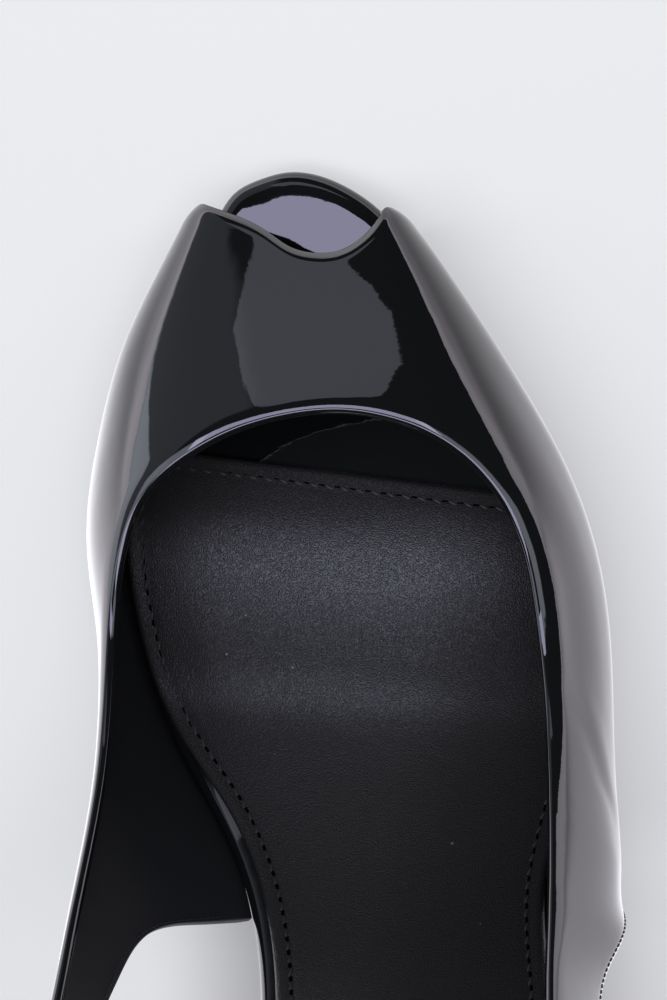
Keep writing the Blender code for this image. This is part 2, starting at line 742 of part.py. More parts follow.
def make_heel_tip():
    """The top piece under the heel: a short block with the heel's own outline and a flat base."""
    _, middle, rear_depth, front_depth, half_width = HEEL[-1]
    turns = np.arange(HEEL_SEGMENTS) * 2 * math.pi / HEEL_SEGMENTS
    reach = np.where(np.cos(turns) > 0, rear_depth, front_depth)
    rings = []
    for height, grow in HEEL_TIP_RINGS:
        x = HEEL_X + (half_width + grow) * np.sin(turns)
        back = middle + (reach + grow) * np.cos(turns)
        rings.append(np.stack([x, back, np.full(HEEL_SEGMENTS, height)], -1))
    faces = ring_faces(len(rings), HEEL_SEGMENTS, False)
    faces.append(tuple(range(HEEL_SEGMENTS)))
    last = (len(rings) - 1) * HEEL_SEGMENTS
    faces.append(tuple(last + k for k in reversed(range(HEEL_SEGMENTS))))
    return new_object("heel_tip", world(np.concatenate(rings)), faces)


PUMP = bpy.data.collections.new("peep_toe_pump")


def main():
    for old in list(bpy.data.objects):
        bpy.data.objects.remove(old, do_unlink=True)
    bpy.context.scene.collection.children.link(PUMP)
    make_upper()
    make_insole()
    make_sock()
    make_outsole()
    make_heel()
    make_heel_tip()


main()
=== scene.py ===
# %% [markdown]
# A black patent peep toe pump, dressed for its studio picture.
#
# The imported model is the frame: six plain solids that stand in the right places. This lesson gives each
# of them its finish. The upper, insole, sock and sole are drawn again with far more faces, because a
# mirror-bright surface shows every facet. The heel and its top piece start from copies of the frame's
# own solids. Lengths in the tables are millimetres of the shoe's pattern, and world() turns them into
# metres in the frame.

import math

import bpy
import numpy as np
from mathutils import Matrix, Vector

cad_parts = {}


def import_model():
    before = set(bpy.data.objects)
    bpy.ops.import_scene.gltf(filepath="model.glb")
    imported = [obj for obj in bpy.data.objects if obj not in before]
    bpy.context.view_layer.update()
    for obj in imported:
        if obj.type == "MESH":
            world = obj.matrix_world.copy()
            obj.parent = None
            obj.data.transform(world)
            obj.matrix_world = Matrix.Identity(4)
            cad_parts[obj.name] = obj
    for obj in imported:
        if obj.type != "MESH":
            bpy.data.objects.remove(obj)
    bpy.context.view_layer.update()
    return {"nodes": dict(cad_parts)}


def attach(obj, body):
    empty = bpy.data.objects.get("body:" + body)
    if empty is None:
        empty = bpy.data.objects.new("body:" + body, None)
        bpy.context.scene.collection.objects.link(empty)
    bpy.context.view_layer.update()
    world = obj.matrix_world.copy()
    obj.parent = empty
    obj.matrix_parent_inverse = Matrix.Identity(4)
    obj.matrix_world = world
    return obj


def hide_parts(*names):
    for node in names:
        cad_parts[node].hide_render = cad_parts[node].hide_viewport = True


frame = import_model()
bpy.ops.object.select_all(action="DESELECT")
print("frame nodes:", sorted(frame["nodes"]))

# %% [markdown]
# The picture is taken from almost straight above the ball of the foot. The camera leans ten degrees to
# the outer side and is rolled a little, so that the toe points up and slightly left. A long lens keeps
# the toe and the high strap at nearly the same scale.

# %% Camera
CAMERA_TARGET = Vector((0.0, 0.0517, 0.020))
CAMERA_DISTANCE = 0.5
CAMERA_LEAN = math.radians(10)
CAMERA_ROLL = -math.atan(0.1)
FOCAL_PIXELS = 3075
PICTURE_HEIGHT = 1000
SENSOR = 36.0


def make_camera():
    bpy.ops.object.camera_add(rotation=(0, CAMERA_LEAN, CAMERA_ROLL))
    camera = bpy.context.object
    camera.name = "studio_camera"
    camera.data.sensor_width = SENSOR
    camera.data.lens = SENSOR * FOCAL_PIXELS / PICTURE_HEIGHT
    camera.data.clip_start = 0.01
    backward = camera.rotation_euler.to_matrix() @ Vector((0, 0, 1))
    camera.location = CAMERA_TARGET + backward * CAMERA_DISTANCE
    bpy.context.scene.camera = camera
    return camera


camera = make_camera()
print("camera lens", round(camera.data.lens, 1), "mm")

# %% [markdown]
# The pattern. A shoemaker draws a shoe over a last, the wooden foot inside it. The same few driving
# sizes and tables that made the frame are repeated here, because this script reads no other file. Each
# row of LAST is one section across the foot, from the edge of the sole over the top.

# %% Sizes and the last
MILLIMETRE = 0.001
TOE_TO_ORIGIN = 106.6
MIDDLE_X = -0.5
WALL = 1.6
INSOLE_THICKNESS = 4.5
SOCK_THICKNESS = 1.8
GAP = 0.3

BALL_BACK = 60.0
BED = {
    "back": (0, 15, 30, 45, 60, 75, 90, 105, 120, 140, 160, 180, 200, 215),
    "height": (9.7, 8.9, 8.1, 7.8, 7.8, 7.9, 9.3, 15.0, 25.5, 44.5, 64.5, 82.0, 94.0, 100.0),
}

LAST_COLUMNS = (
    "back", "feather_m", "side_m", "side_m_up", "shoulder_m", "shoulder_m_up", "top_x", "top_up",
    "shoulder_l", "shoulder_l_up", "side_l", "side_l_up", "feather_l",
)
LAST = np.array((
    (0, -16.2, -17.8, 4.5, -14.8, 11.2, -3.0, 13.4, 8.6, 10.2, 9.0, 4.5, 8.2),
    (12, -24.2, -25.9, 4.5, -20.9, 13.3, -2.4, 16.5, 14.2, 12.4, 16.5, 4.5, 15.5),
    (25, -32.2, -34.0, 5.0, -26.2, 17.4, -2.2, 21.6, 19.2, 16.8, 23.8, 5.0, 22.6),
    (40, -38.0, -39.7, 6.0, -29.8, 22.6, -1.4, 28.8, 24.2, 22.4, 31.5, 6.0, 30.1),
    (57, -41.4, -43.1, 8.0, -33.2, 25.0, -1.0, 33.5, 28.8, 25.6, 38.4, 8.0, 36.5),
    (75, -40.5, -41.6, 11.5, -37.5, 25.5, 0.0, 37.0, 33.0, 24.0, 41.3, 9.5, 39.4),
    (95, -34.6, -39.0, 17.0, -39.4, 31.0, 0.0, 43.0, 33.6, 26.5, 40.9, 13.0, 38.2),
    (115, -24.0, -35.8, 20.5, -41.2, 37.5, 0.0, 50.0, 33.5, 32.5, 41.7, 14.5, 33.0),
    (135, -19.0, -38.4, 23.0, -42.8, 39.0, 0.0, 55.0, 33.2, 34.0, 42.6, 13.5, 28.0),
))


def world(points):
    """Pattern points (x, back, height) in millimetres as points of the frame in metres."""
    points = np.asarray(points, float)
    x = points[..., 0] - MIDDLE_X
    y = TOE_TO_ORIGIN - points[..., 1]
    return np.stack([x, y, points[..., 2]], -1) * MILLIMETRE


print("last sections:", len(LAST))

# %% [markdown]
# The upper is one belt of leather. Its top line runs once round the shoe, and its lower edge runs from
# the strap down the rear edge of a wing, along the sole, round the V of the toe opening and back. The
# tables hold only the points that these lines need, and a natural cubic curve goes through them.

# %% The edges of the upper
TOP_LINE = np.array((
    (0.0, 214.0, 149.0), (-17.0, 209.0, 147.5), (-31.0, 195.0, 139.5), (-39.0, 176.0, 122.5),
    (-42.8, 155.0, 100.0), (-43.2, 139.0, 83.0), (-41.9, 125.3, 69.5), (-40.6, 110.0, 55.0),
    (-39.4, 97.0, 43.5), (-38.2, 83.0, 35.0), (-36.6, 69.0, 31.5), (-33.5, 59.3, 31.5),
    (-29.2, 52.0, 32.5), (-22.2, 46.4, 34.5), (-12.8, 42.2, 36.5), (-4.2, 40.6, 37.4),
    (4.0, 40.6, 37.6), (12.4, 42.6, 37.4), (19.8, 46.2, 36.3), (25.7, 51.4, 34.8),
    (29.7, 58.0, 33.0), (32.0, 65.7, 31.8), (32.9, 76.0, 31.6), (33.5, 89.0, 34.2),
    (33.5, 104.0, 43.8), (33.4, 118.0, 56.5), (33.4, 131.0, 69.0), (33.9, 148.0, 87.5),
    (33.8, 168.0, 111.0), (29.5, 190.0, 134.5), (16.5, 208.5, 147.2),
))
TOE_OPENING = np.array((
    (-18.1, 3.8, 20.0), (-11.8, 6.8, 22.6), (-6.4, 10.2, 24.6), (-2.5, 13.3, 25.6), (1.2, 14.6, 25.9),
    (5.2, 14.7, 25.8), (8.5, 13.3, 24.8), (11.4, 10.8, 22.8), (14.4, 7.7, 20.0),
))
TOE_OPENING_FOOT_M = 6.8
TOE_OPENING_FOOT_L = 9.8
WING_M = np.array((
    (0.0, 212.6, 138.5), (-16.6, 207.8, 137.0), (-29.8, 194.8, 128.6), (-37.2, 177.0, 111.5),
    (-40.6, 156.5, 88.0), (-40.2, 140.5, 69.0), (-38.0, 128.0, 55.6), (-35.2, 122.9, 49.6),
    (-31.6, 120.2, 42.0), (-25.5, 120.9, 31.5), (-21.2, 122.0, 23.0),
))
WING_L = np.array((
    (0.0, 212.6, 138.5), (16.6, 207.2, 137.0), (30.0, 190.5, 124.0), (35.4, 170.0, 101.0),
    (37.4, 152.0, 77.5), (38.6, 137.5, 59.0), (40.2, 129.0, 49.5), (42.6, 124.8, 43.0),
    (40.8, 122.8, 36.0), (36.6, 122.8, 29.0), (31.0, 123.6, 23.0),
))
TOP_OVER = {"wing_m": 99.0, "foot_m": -21.0, "toe_m": -16.0, "toe_l": 18.0, "foot_l": 22.5, "wing_l": 101.0}
STRAP_START = 112.0
STRAP_END = 132.0
STRAP_CENTRE = np.array((0.0, 170.0))
STRAP_BULGE = 0.5

# %% [markdown]
# Smooth lines. Three small helpers do all the drawing: a natural cubic curve through points, its length,
# and a soft step from 0 to 1. Reading many curves at once keeps the script quick.

# %% Curves
def bend_of(knots, values):
    """Second derivatives of natural cubic curves, one row of knots and of values for each curve."""
    count = knots.shape[1]
    gap = np.diff(knots, axis=1)
    matrix = np.tile(np.eye(count), (len(knots), 1, 1))
    right = np.zeros_like(values)
    for k in range(1, count - 1):
        before, after = gap[:, k - 1], gap[:, k]
        matrix[:, k, k - 1] = before
        matrix[:, k, k] = 2 * (before + after)
        matrix[:, k, k + 1] = after
        rise_after = (values[:, k + 1] - values[:, k]) / after[:, None]
        rise_before = (values[:, k] - values[:, k - 1]) / before[:, None]
        right[:, k] = 6 * (rise_after - rise_before)
    return np.linalg.solve(matrix, right)


def read_curves(knots, values, at, bend=None):
    """Each curve read at its own place."""
    if bend is None:
        bend = bend_of(knots, values)
    rows = np.arange(len(at)) if len(knots) > 1 else np.zeros(len(at), int)
    low = np.clip((at[:, None] >= knots).sum(1) - 1, 0, knots.shape[1] - 2)
    gap = (knots[rows, low + 1] - knots[rows, low])[:, None]
    left = (knots[rows, low + 1] - at)[:, None] / gap
    right = 1 - left
    straight = left * values[rows, low] + right * values[rows, low + 1]
    curved = (left**3 - left) * bend[rows, low] + (right**3 - right) * bend[rows, low + 1]
    return straight + curved * gap**2 / 6


def read_curve(knots, values, at):
    """One curve read at many places."""
    knots = np.asarray(knots, float)[None]
    values = np.asarray(values, float)
    values = values.reshape(1, len(knots[0]), -1)
    return read_curves(knots, values, np.atleast_1d(np.asarray(at, float)))


def lengths_along(points):
    return np.concatenate([[0.0], np.cumsum(np.linalg.norm(np.diff(points, axis=0), axis=1))])


def along(points, shares):
    """An open curve through the points, read at shares of its length."""
    knots = lengths_along(points)
    return read_curve(knots, points, np.asarray(shares) * knots[-1])


def closed_curve(points, shares):
    """A closed curve through the points, read at shares of its length."""
    points = np.asarray(points, float)
    wrapped = np.concatenate([points[-3:], points, points[:4]])
    knots = lengths_along(wrapped)
    start, end = knots[3], knots[3 + len(points)]
    return read_curve(knots, wrapped, start + (end - start) * np.asarray(shares))


def unit(vectors):
    return vectors / np.linalg.norm(vectors, axis=-1)[..., None]


def smooth_step(low, high, at):
    share = np.clip((np.asarray(at, float) - low) / (high - low), 0, 1)
    return share**3 * (share * (share * 6 - 15) + 10)


print("top line:", round(lengths_along(closed_curve(TOP_LINE, np.linspace(0, 1, 400)))[-1]), "mm round")

# %% [markdown]
# The foot bed and the last as surfaces. The bed is one curve seen from the side. A point of the last is
# named by its place along the shoe and by its turn: -1 at the inner edge of the sole, 0 on top and 1 at
# the outer edge.

# %% Bed and last
def bed_height(back):
    return read_curve(BED["back"], BED["height"], back)[:, 0]


def bed_slope(back):
    back = np.asarray(back, float)
    return np.arctan(bed_height(back + 0.5) - bed_height(back - 0.5))


def on_bed(x, back, down):
    """A place of the bed's plan, on a layer that lies down millimetres below the bed."""
    x, back, down = np.broadcast_arrays(*(np.asarray(value, float) for value in (x, back, down)))
    height = bed_height(back.ravel()) - down.ravel() / np.cos(bed_slope(back.ravel()))
    return np.stack([x, back, height.reshape(back.shape)], -1)


def last_point(back, turn):
    back = np.asarray(back, float).ravel()
    turn = np.asarray(turn, float).ravel()
    read = read_curve(LAST[:, 0], LAST[:, 1:], back)
    row = dict(zip(LAST_COLUMNS[1:], read.T))
    bed = bed_height(back)
    feather = bed - INSOLE_THICKNESS / np.cos(bed_slope(back))
    keys = [(row["feather_m"], feather)]
    for name in ("side_m", "shoulder_m"):
        keys.append((row[name], bed + row[name + "_up"]))
    keys.append((row["top_x"], bed + row["top_up"]))
    for name in ("shoulder_l", "side_l"):
        keys.append((row[name], bed + row[name + "_up"]))
    keys.append((row["feather_l"], feather))
    keys = np.stack([np.stack(key, -1) for key in keys], 1)
    steps = np.linalg.norm(np.diff(keys, axis=1), axis=2)
    knots = np.concatenate([np.zeros((len(back), 1)), np.cumsum(steps, axis=1)], axis=1)
    top, end = knots[:, 3], knots[:, 6]
    found = read_curves(knots, keys, np.where(turn < 0, top * (1 + turn), top + (end - top) * turn))
    return np.stack([found[:, 0], back, found[:, 1]], -1)


TURN_TRIALS = 81
NARROWINGS = 22
NARROWED_TO = 0.67


def nearest_turn(points):
    """The turn at which the last's section through each point comes nearest to it."""
    turns = np.linspace(-1, 1, TURN_TRIALS)
    count = len(points)
    grid = last_point(np.repeat(points[:, 1], len(turns)), np.tile(turns, count)).reshape(count, -1, 3)
    best = turns[np.linalg.norm(grid - points[:, None], axis=2).argmin(1)]
    reach = turns[1] - turns[0]
    for _ in range(NARROWINGS):
        low = np.clip(best - reach / 3, -1, 1)
        high = np.clip(best + reach / 3, -1, 1)
        far_low = np.linalg.norm(last_point(points[:, 1], low) - points, axis=1)
        far_high = np.linalg.norm(last_point(points[:, 1], high) - points, axis=1)
        best = np.where(far_low < far_high, low, high)
        reach *= NARROWED_TO
    return best


print("bed rises", round(float(bed_height(200)[0] - bed_height(60)[0])), "mm to the heel seat")

# %% [markdown]
# The belt. Stations go once round it, and each station joins a point of the lower edge to a point of the
# top line. Over the foot the surface follows the last. Behind the wings it leaves the last and becomes
# the flat strap.

# %% Stations round the belt
STATIONS = {"wing_m": 150, "feather_m": 110, "foot_m": 10, "opening": 72, "foot_l": 10, "feather_l": 110,
            "wing_l": 150}
FIRST_OF = dict(zip(STATIONS, np.cumsum([0, *STATIONS.values()]).tolist()))
SHARE_TRIALS = 1500


def top_share(side, axis, value):
    """The share of the top line's length, on one side, at which x or back comes nearest to a value."""
    shares = np.linspace(0 if side == "medial" else 1, 0.5, SHARE_TRIALS)
    points = closed_curve(TOP_LINE, shares)
    far = np.abs(points[:, axis] - value)
    far[points[:, 1] > STRAP_START] = np.inf
    return shares[far.argmin()]


def feather_line(turn, start, end, shares):
    back = start + (end - start) * np.asarray(shares)
    return last_point(back, np.full(len(back), turn))


def toe_foot(turn, foot_back, corner):
    """The short edge from the sole up to a corner of the toe opening."""
    foot = last_point([foot_back], [turn])[0]
    corner_turn = nearest_turn(corner[None])[0]
    middle = last_point([(foot_back + corner[1]) / 2], [(corner_turn + turn) / 2])[0]
    return np.array([foot, middle, last_point([corner[1]], [corner_turn])[0]])


def belt_parts():
    foot_m = toe_foot(-1.0, TOE_OPENING_FOOT_M, TOE_OPENING[0])
    foot_l = toe_foot(1.0, TOE_OPENING_FOOT_L, TOE_OPENING[-1])[::-1]
    anchors = [
        0.0,
        top_share("medial", 1, TOP_OVER["wing_m"]),
        top_share("medial", 0, TOP_OVER["foot_m"]),
        top_share("medial", 0, TOP_OVER["toe_m"]),
        top_share("lateral", 0, TOP_OVER["toe_l"]),
        top_share("lateral", 0, TOP_OVER["foot_l"]),
        top_share("lateral", 1, TOP_OVER["wing_l"]),
        1.0,
    ]
    edges = (
        lambda share: along(WING_M, share),
        lambda share: feather_line(-1.0, WING_M[-1][1], TOE_OPENING_FOOT_M, share),
        lambda share: along(foot_m, share),
        lambda share: along(TOE_OPENING, share),
        lambda share: along(foot_l, share),
        lambda share: feather_line(1.0, TOE_OPENING_FOOT_L, WING_L[-1][1], share),
        lambda share: along(WING_L[::-1], share),
    )
    return zip(STATIONS, edges, anchors[:-1], anchors[1:])


def belt_edges():
    lower, upper = [], []
    for name, edge, start, end in belt_parts():
        share = np.arange(STATIONS[name]) / STATIONS[name]
        lower.append(edge(share))
        upper.append(closed_curve(TOP_LINE, start + (end - start) * share))
    return soft_corners(np.concatenate(lower)), np.concatenate(upper)


BLUR_STATIONS = 9
BLUR_SPREAD = 3.2
CORNER_REACH = 7.0


def soft_corners(line):
    """The two corners of the toe opening, rounded over a millimetre or so."""
    number = np.arange(len(line))
    blurred = np.zeros_like(line)
    shifts = np.arange(-BLUR_STATIONS, BLUR_STATIONS + 1)
    weights = np.exp(-(shifts / BLUR_SPREAD) ** 2)
    for shift, weight in zip(shifts, weights / weights.sum()):
        blurred += weight * np.roll(line, shift, axis=0)
    corners = FIRST_OF["opening"], FIRST_OF["foot_l"]
    near = sum(np.exp(-((number - corner) / CORNER_REACH) ** 2) for corner in corners)
    return line + (blurred - line) * np.clip(near, 0, 1)[:, None]


LOWER, UPPER = belt_edges()
BELT_WIDTH = np.linalg.norm(UPPER - LOWER, axis=1)
print("stations:", len(LOWER))

# %% [markdown]
# Points of the belt. share 0 is the lower edge and 1 the top line, and each station has a share of its
# own, so that rows can crowd together near an edge where the leather rolls over.

# %% Points of the belt
PAST_LAST = 5.0
ON_LAST = LOWER[:, 1] < LAST[-1][0] + PAST_LAST
LASTED = np.where(ON_LAST, 1 - smooth_step(STRAP_START, STRAP_END, (LOWER[:, 1] + UPPER[:, 1]) / 2), 0)
LOWER_TURN, UPPER_TURN = np.zeros(len(LOWER)), np.zeros(len(LOWER))
LOWER_TURN[ON_LAST] = nearest_turn(LOWER[ON_LAST])
UPPER_TURN[ON_LAST] = nearest_turn(UPPER[ON_LAST])


def belt_row(share):
    """One row of the outer face, with a share for each station."""
    share = np.broadcast_to(share, len(LOWER))
    straight = LOWER * (1 - share[:, None]) + UPPER * share[:, None]
    out = unit(straight[:, :2] - STRAP_CENTRE)
    straight[:, :2] += out * (STRAP_BULGE * 4 * share * (1 - share))[:, None]
    back = np.where(ON_LAST, LOWER[:, 1] * (1 - share) + UPPER[:, 1] * share, BALL_BACK)
    turn = np.clip(LOWER_TURN * (1 - share) + UPPER_TURN * share, -1, 1)
    return last_point(back, turn) * LASTED[:, None] + straight * (1 - LASTED[:, None])


EDGE_ROWS = np.array((0.0, 0.15, 0.35, 0.6, 0.9, 1.25, 1.7, 2.3, 2.9))
MIDDLE_ROWS = 26


def face_shares():
    """Rows from the lower edge to the top line, close together beside both edges."""
    rows = [millimetres / BELT_WIDTH for millimetres in EDGE_ROWS]
    low, high = rows[-1], 1 - rows[-1]
    for step in range(1, MIDDLE_ROWS):
        rows.append(low + (high - low) * step / MIDDLE_ROWS)
    rows += [1 - millimetres / BELT_WIDTH for millimetres in EDGE_ROWS[::-1]]
    return np.stack(rows)


SHARES = face_shares()
FACE = np.stack([belt_row(share) for share in SHARES])
print("outer face:", FACE.shape[0], "rows of", FACE.shape[1])

# %% [markdown]
# Meshes from rows. A grid of points that closes round its columns makes a tube or a belt, and closing
# its rows as well makes a closed shell. The same helper serves every piece that is drawn from a formula.
# Smooth shading is by angle, so that a real edge stays crisp.

# %% Mesh helpers
SHARP = math.radians(35)


def grid_quads(rows, columns, close_rows):
    row = np.arange(rows if close_rows else rows - 1)[:, None]
    column = np.arange(columns)[None]
    after, beside = (row + 1) % rows, (column + 1) % columns
    near, far = row * columns, after * columns
    corners = (near + column, far + column, far + beside, near + beside)
    return np.stack([np.broadcast_to(corner, (len(row), columns)) for corner in corners], -1).reshape(-1, 4)


def piece_from(name, points, faces):
    """A new object from pattern points, smooth but for its real edges."""
    mesh = bpy.data.meshes.new(name)
    mesh.from_pydata(world(points).tolist(), [], [list(map(int, face)) for face in faces])
    mesh.validate()
    piece = bpy.data.objects.new(name, mesh)
    bpy.context.scene.collection.objects.link(piece)
    bpy.ops.object.select_all(action="DESELECT")
    bpy.context.view_layer.objects.active = piece
    piece.select_set(True)
    bpy.ops.object.shade_smooth_by_angle(angle=SHARP)
    return piece


def point_values(piece, name, values):
    """A number for each point of the mesh, for a material to read."""
    attribute = piece.data.attributes.new(name, "FLOAT", "POINT")
    attribute.data.foreach_set("value", np.ascontiguousarray(values, np.float32))


# %% [markdown]
# The section of the upper. Patent leather is turned in at its top edge, so its face rolls down over the
# last two millimetres and then folds over, as thick as a thin cord. Inside the fold lies the lining. Going
# round one station: up the outer face, over the fold, down the lining and round the lower edge, which is
# cut at the wings and rolled in along the toe opening. All of it is one closed shell of rows, because a
# mirror shows any seam between two meshes. One crease, a trough and a low ridge behind it, runs down the
# outer side, where the foot bends the leather.

# %% Shell of the upper
ROLL_DEPTH = 0.36
ROLL_REACH = 2.2
FOOT_ROLL = 0.5
OPENING_ROLL = 1.5
OPENING_EXTRA_REACH = 0.3
OPENING_FADE = 16
FOLD_RADIUS = 0.92
FOLD_START = 18
FOLD_FIRST = 26
FOLD_END = 205
FOLD_TURNS = 13
INNER_ROWS = 18
INNER_TOP = 6
INNER_FOOT = 2
CUT_SECTION = ((0.02, 0.05), (0.09, 0.16), (0.5, 0.19), (0.9, 0.16), (0.97, 0.05))
CUT_FALL_AT_OPENING = 0.3
CREASE = np.array((
    (34.9, 80.5, 30.7), (35.8, 85.0, 30.8), (36.4, 89.4, 31.3), (37.8, 94.5, 31.3),
    (39.1, 99.5, 32.0), (40.1, 103.5, 32.9), (41.0, 107.3, 33.2), (41.5, 112.0, 36.0),
))
CREASE_DEPTH = 0.15
CREASE_WIDTH = 1.6
CREASE_RIDGE = 0.1
RIDGE_AWAY = 3.2
RIDGE_WIDTH = 2.0
CREASE_ENDS = 6.0
CREASE_POINTS = 60


def crease_depth(points):
    """A soft trough down the outer side, with a low ridge behind it."""
    line = along(CREASE, np.linspace(0, 1, CREASE_POINTS))
    reach = points - line[:, None, None]
    far = np.linalg.norm(reach, axis=-1)
    nearest = far.argmin(0)
    far = far.min(0)
    share = nearest / (len(line) - 1)
    behind = points[..., 2] - line[nearest][..., 2]
    fade = smooth_step(0.05, 0.5, share) * (1 - 0.5 * smooth_step(0.8, 1.0, share))
    trough = CREASE_DEPTH * np.exp(-(far / CREASE_WIDTH) ** 2)
    ridge = CREASE_RIDGE * np.exp(-((far - RIDGE_AWAY) / RIDGE_WIDTH) ** 2) * (behind < 0)
    return (ridge - trough) * fade * np.exp(-np.clip(far - CREASE_ENDS, 0, None))


def foot_drop():
    """How deep the lower edge is rolled: most along the toe opening."""
    number = np.arange(len(LOWER))
    start, end = FIRST_OF["opening"], FIRST_OF["foot_l"]
    opening = smooth_step(start, start + OPENING_FADE, number)
    opening = opening * (1 - smooth_step(end - OPENING_FADE, end, number))
    return FOOT_ROLL + (OPENING_ROLL - FOOT_ROLL) * opening, opening


def rolled_face(face):
    """The face drawn in beside both edges, as leather that is folded over."""
    round_it = np.roll(face, -1, axis=1) - np.roll(face, 1, axis=1)
    outward = unit(np.cross(round_it, np.gradient(face, axis=0)))
    from_top = (1 - SHARES) * BELT_WIDTH
    from_foot = SHARES * BELT_WIDTH
    drop = ROLL_DEPTH * (1 - np.clip(from_top / ROLL_REACH, 0, 1)) ** 2
    depth, opening = foot_drop()
    foot_reach = ROLL_REACH + OPENING_EXTRA_REACH * opening
    drop += depth * (1 - np.clip(from_foot / foot_reach, 0, 1)) ** 2
    return face + outward * (crease_depth(face) - drop)[..., None], outward


def fold_rows(top, across, outward):
    """The folded edge: part of a circle that carries on from the rolled face."""
    start = math.radians(FOLD_START)
    centre_out = -ROLL_DEPTH - FOLD_RADIUS * math.cos(start)
    centre_rise = -FOLD_RADIUS * math.sin(start)
    rows = []
    for angle in np.radians(np.linspace(FOLD_FIRST, FOLD_END, FOLD_TURNS)):
        out = centre_out + FOLD_RADIUS * math.cos(angle)
        rise = centre_rise + FOLD_RADIUS * math.sin(angle)
        rows.append(top + outward * out + across * rise)
    return rows


def foot_rows(foot, across, outward):
    """The cut lower edge, from the lining back to the face, each row a share of the wall and a fall."""
    depth, opening = foot_drop()
    falls = 1 - (1 - CUT_FALL_AT_OPENING) * opening
    rows = []
    for share, fall in CUT_SECTION:
        out = WALL + (depth - WALL) * share
        rows.append(foot - outward * out[:, None] - across * (fall * falls)[:, None])
    return rows


def upper_rows():
    """All rows round the shell, and what the seams need: the face, the lining and the way outwards."""
    rolled, outward = rolled_face(FACE)
    across = unit(np.gradient(FACE, axis=0))
    rows = list(rolled)
    rows += fold_rows(FACE[-1], across[-1], outward[-1])
    inner = FACE - outward * WALL
    base = on_bed(LOWER[:, 0], LOWER[:, 1], INSOLE_THICKNESS)[:, 2] + GAP
    lift = np.maximum(LOWER[:, 2], inner[0, :, 2])
    inner[0, :, 2] = np.where(base > LOWER[:, 2], lift, inner[0, :, 2])
    picked = np.linspace(len(FACE) - INNER_TOP, INNER_FOOT, INNER_ROWS).astype(int)
    lining_start = len(rows)
    rows += [inner[row] for row in picked]
    rows += foot_rows(FACE[0], across[0], outward[0])
    return np.stack(rows), lining_start, rolled, inner, outward


def make_upper():
    """The shell, with two masks for its material: where it is lining, and where its edge is cut."""
    rows, lining_start, *_ = SECTION
    count, columns = rows.shape[:2]
    piece = piece_from("patent_upper", rows.reshape(-1, 3), grid_quads(count, columns, True))
    edge_start = count - len(CUT_SECTION)
    lining = np.zeros((count, columns))
    lining[lining_start - 2:] = 1
    lining[edge_start:, FIRST_OF["foot_m"]:FIRST_OF["feather_l"]] = 0
    point_values(piece, "lining", lining.reshape(-1))
    cut = np.zeros((count, columns))
    cut[edge_start:, :FIRST_OF["feather_m"]] = 1
    cut[edge_start:, FIRST_OF["wing_l"]:] = 1
    point_values(piece, "cut_edge", cut.reshape(-1))
    return piece


SECTION = upper_rows()
upper = make_upper()
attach(upper, "root")
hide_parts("upper")
print("upper:", len(upper.data.polygons), "faces")

# %% [markdown]
# The flat layers: insole, sock and sole. All three are cut to one outline in plan, which stands a little
# inside the wall of the upper where the upper is lasted, and runs free at the open waist. The outline is
# drawn once, and each layer takes it larger or smaller.

# %% Outlines in plan
INSOLE_LIP = ((-5.2, -0.9), (-10.4, -0.2), (-14.5, 1.4), (-17.0, 4.0))
INSOLE_LIP_L = ((0.2, 0.4), (4.6, 2.9), (8.6, 6.2))
INSIDE_LAST = np.array((9.0, 16.0, 25.0, 36.0, 48.0, 60.0, 72.0, 84.0, 96.0, 108.0, 120.0))
INSOLE_REAR = (
    (135, -17.1, 30.4), (150, -17.0, 30.4), (165, -18.6, 29.6), (180, -20.0, 28.6),
    (192, -19.6, 27.8), (202, -16.0, 24.0), (209, -9.6, 17.4),
)
HEEL_END = (3.8, 212.6)
FACET_ALLOWANCE = 0.2
OUTLINE_POINTS = 1200


def feather_inset(column, backs, inward):
    """Plan points inside the wall of the upper, square to the edge that stands on the sole."""
    edge = read_curve(LAST[:, 0], LAST[:, column], backs)[:, 0]
    slope = (read_curve(LAST[:, 0], LAST[:, column], backs + 0.5)[:, 0] - edge) / 0.5
    reach = (WALL + GAP + FACET_ALLOWANCE) / np.hypot(1, slope)
    return list(zip(edge + inward * reach, backs - inward * reach * slope))


def insole_outline():
    medial = [*INSOLE_LIP, *feather_inset(LAST_COLUMNS.index("feather_m"), INSIDE_LAST, 1)]
    medial += [(row[1], row[0]) for row in INSOLE_REAR]
    lateral = [*INSOLE_LIP_L, *feather_inset(LAST_COLUMNS.index("feather_l"), INSIDE_LAST[1:], -1)]
    lateral += [(row[2], row[0]) for row in INSOLE_REAR]
    return closed_curve([*medial, HEEL_END, *lateral[::-1]], np.arange(OUTLINE_POINTS) / OUTLINE_POINTS)


def outset(outline, distance):
    tangent = unit(np.roll(outline, -1, axis=0) - np.roll(outline, 1, axis=0))
    outward = np.stack([-tangent[:, 1], tangent[:, 0]], -1)
    return outline + outward * np.asarray(distance, float).reshape(-1, 1)


def resample(outline, count):
    wrapped = np.concatenate([outline, outline[:1]])
    knots = lengths_along(wrapped)
    at = knots[-1] * np.arange(count) / count
    return np.stack([np.interp(at, knots, wrapped[:, axis]) for axis in (0, 1)], -1)


INSOLE_EDGE = insole_outline()
print("insole:", round(lengths_along(INSOLE_EDGE)[-1]), "mm round its edge")

# %% [markdown]
# A layer is a slab that follows the bed: rows of points go round its rim, from the top edge to the base
# edge. Its top and base are filled with a grid that is stretched between the four sides of the outline,
# because even faces keep the shine smooth, where a fan of long triangles would break it.

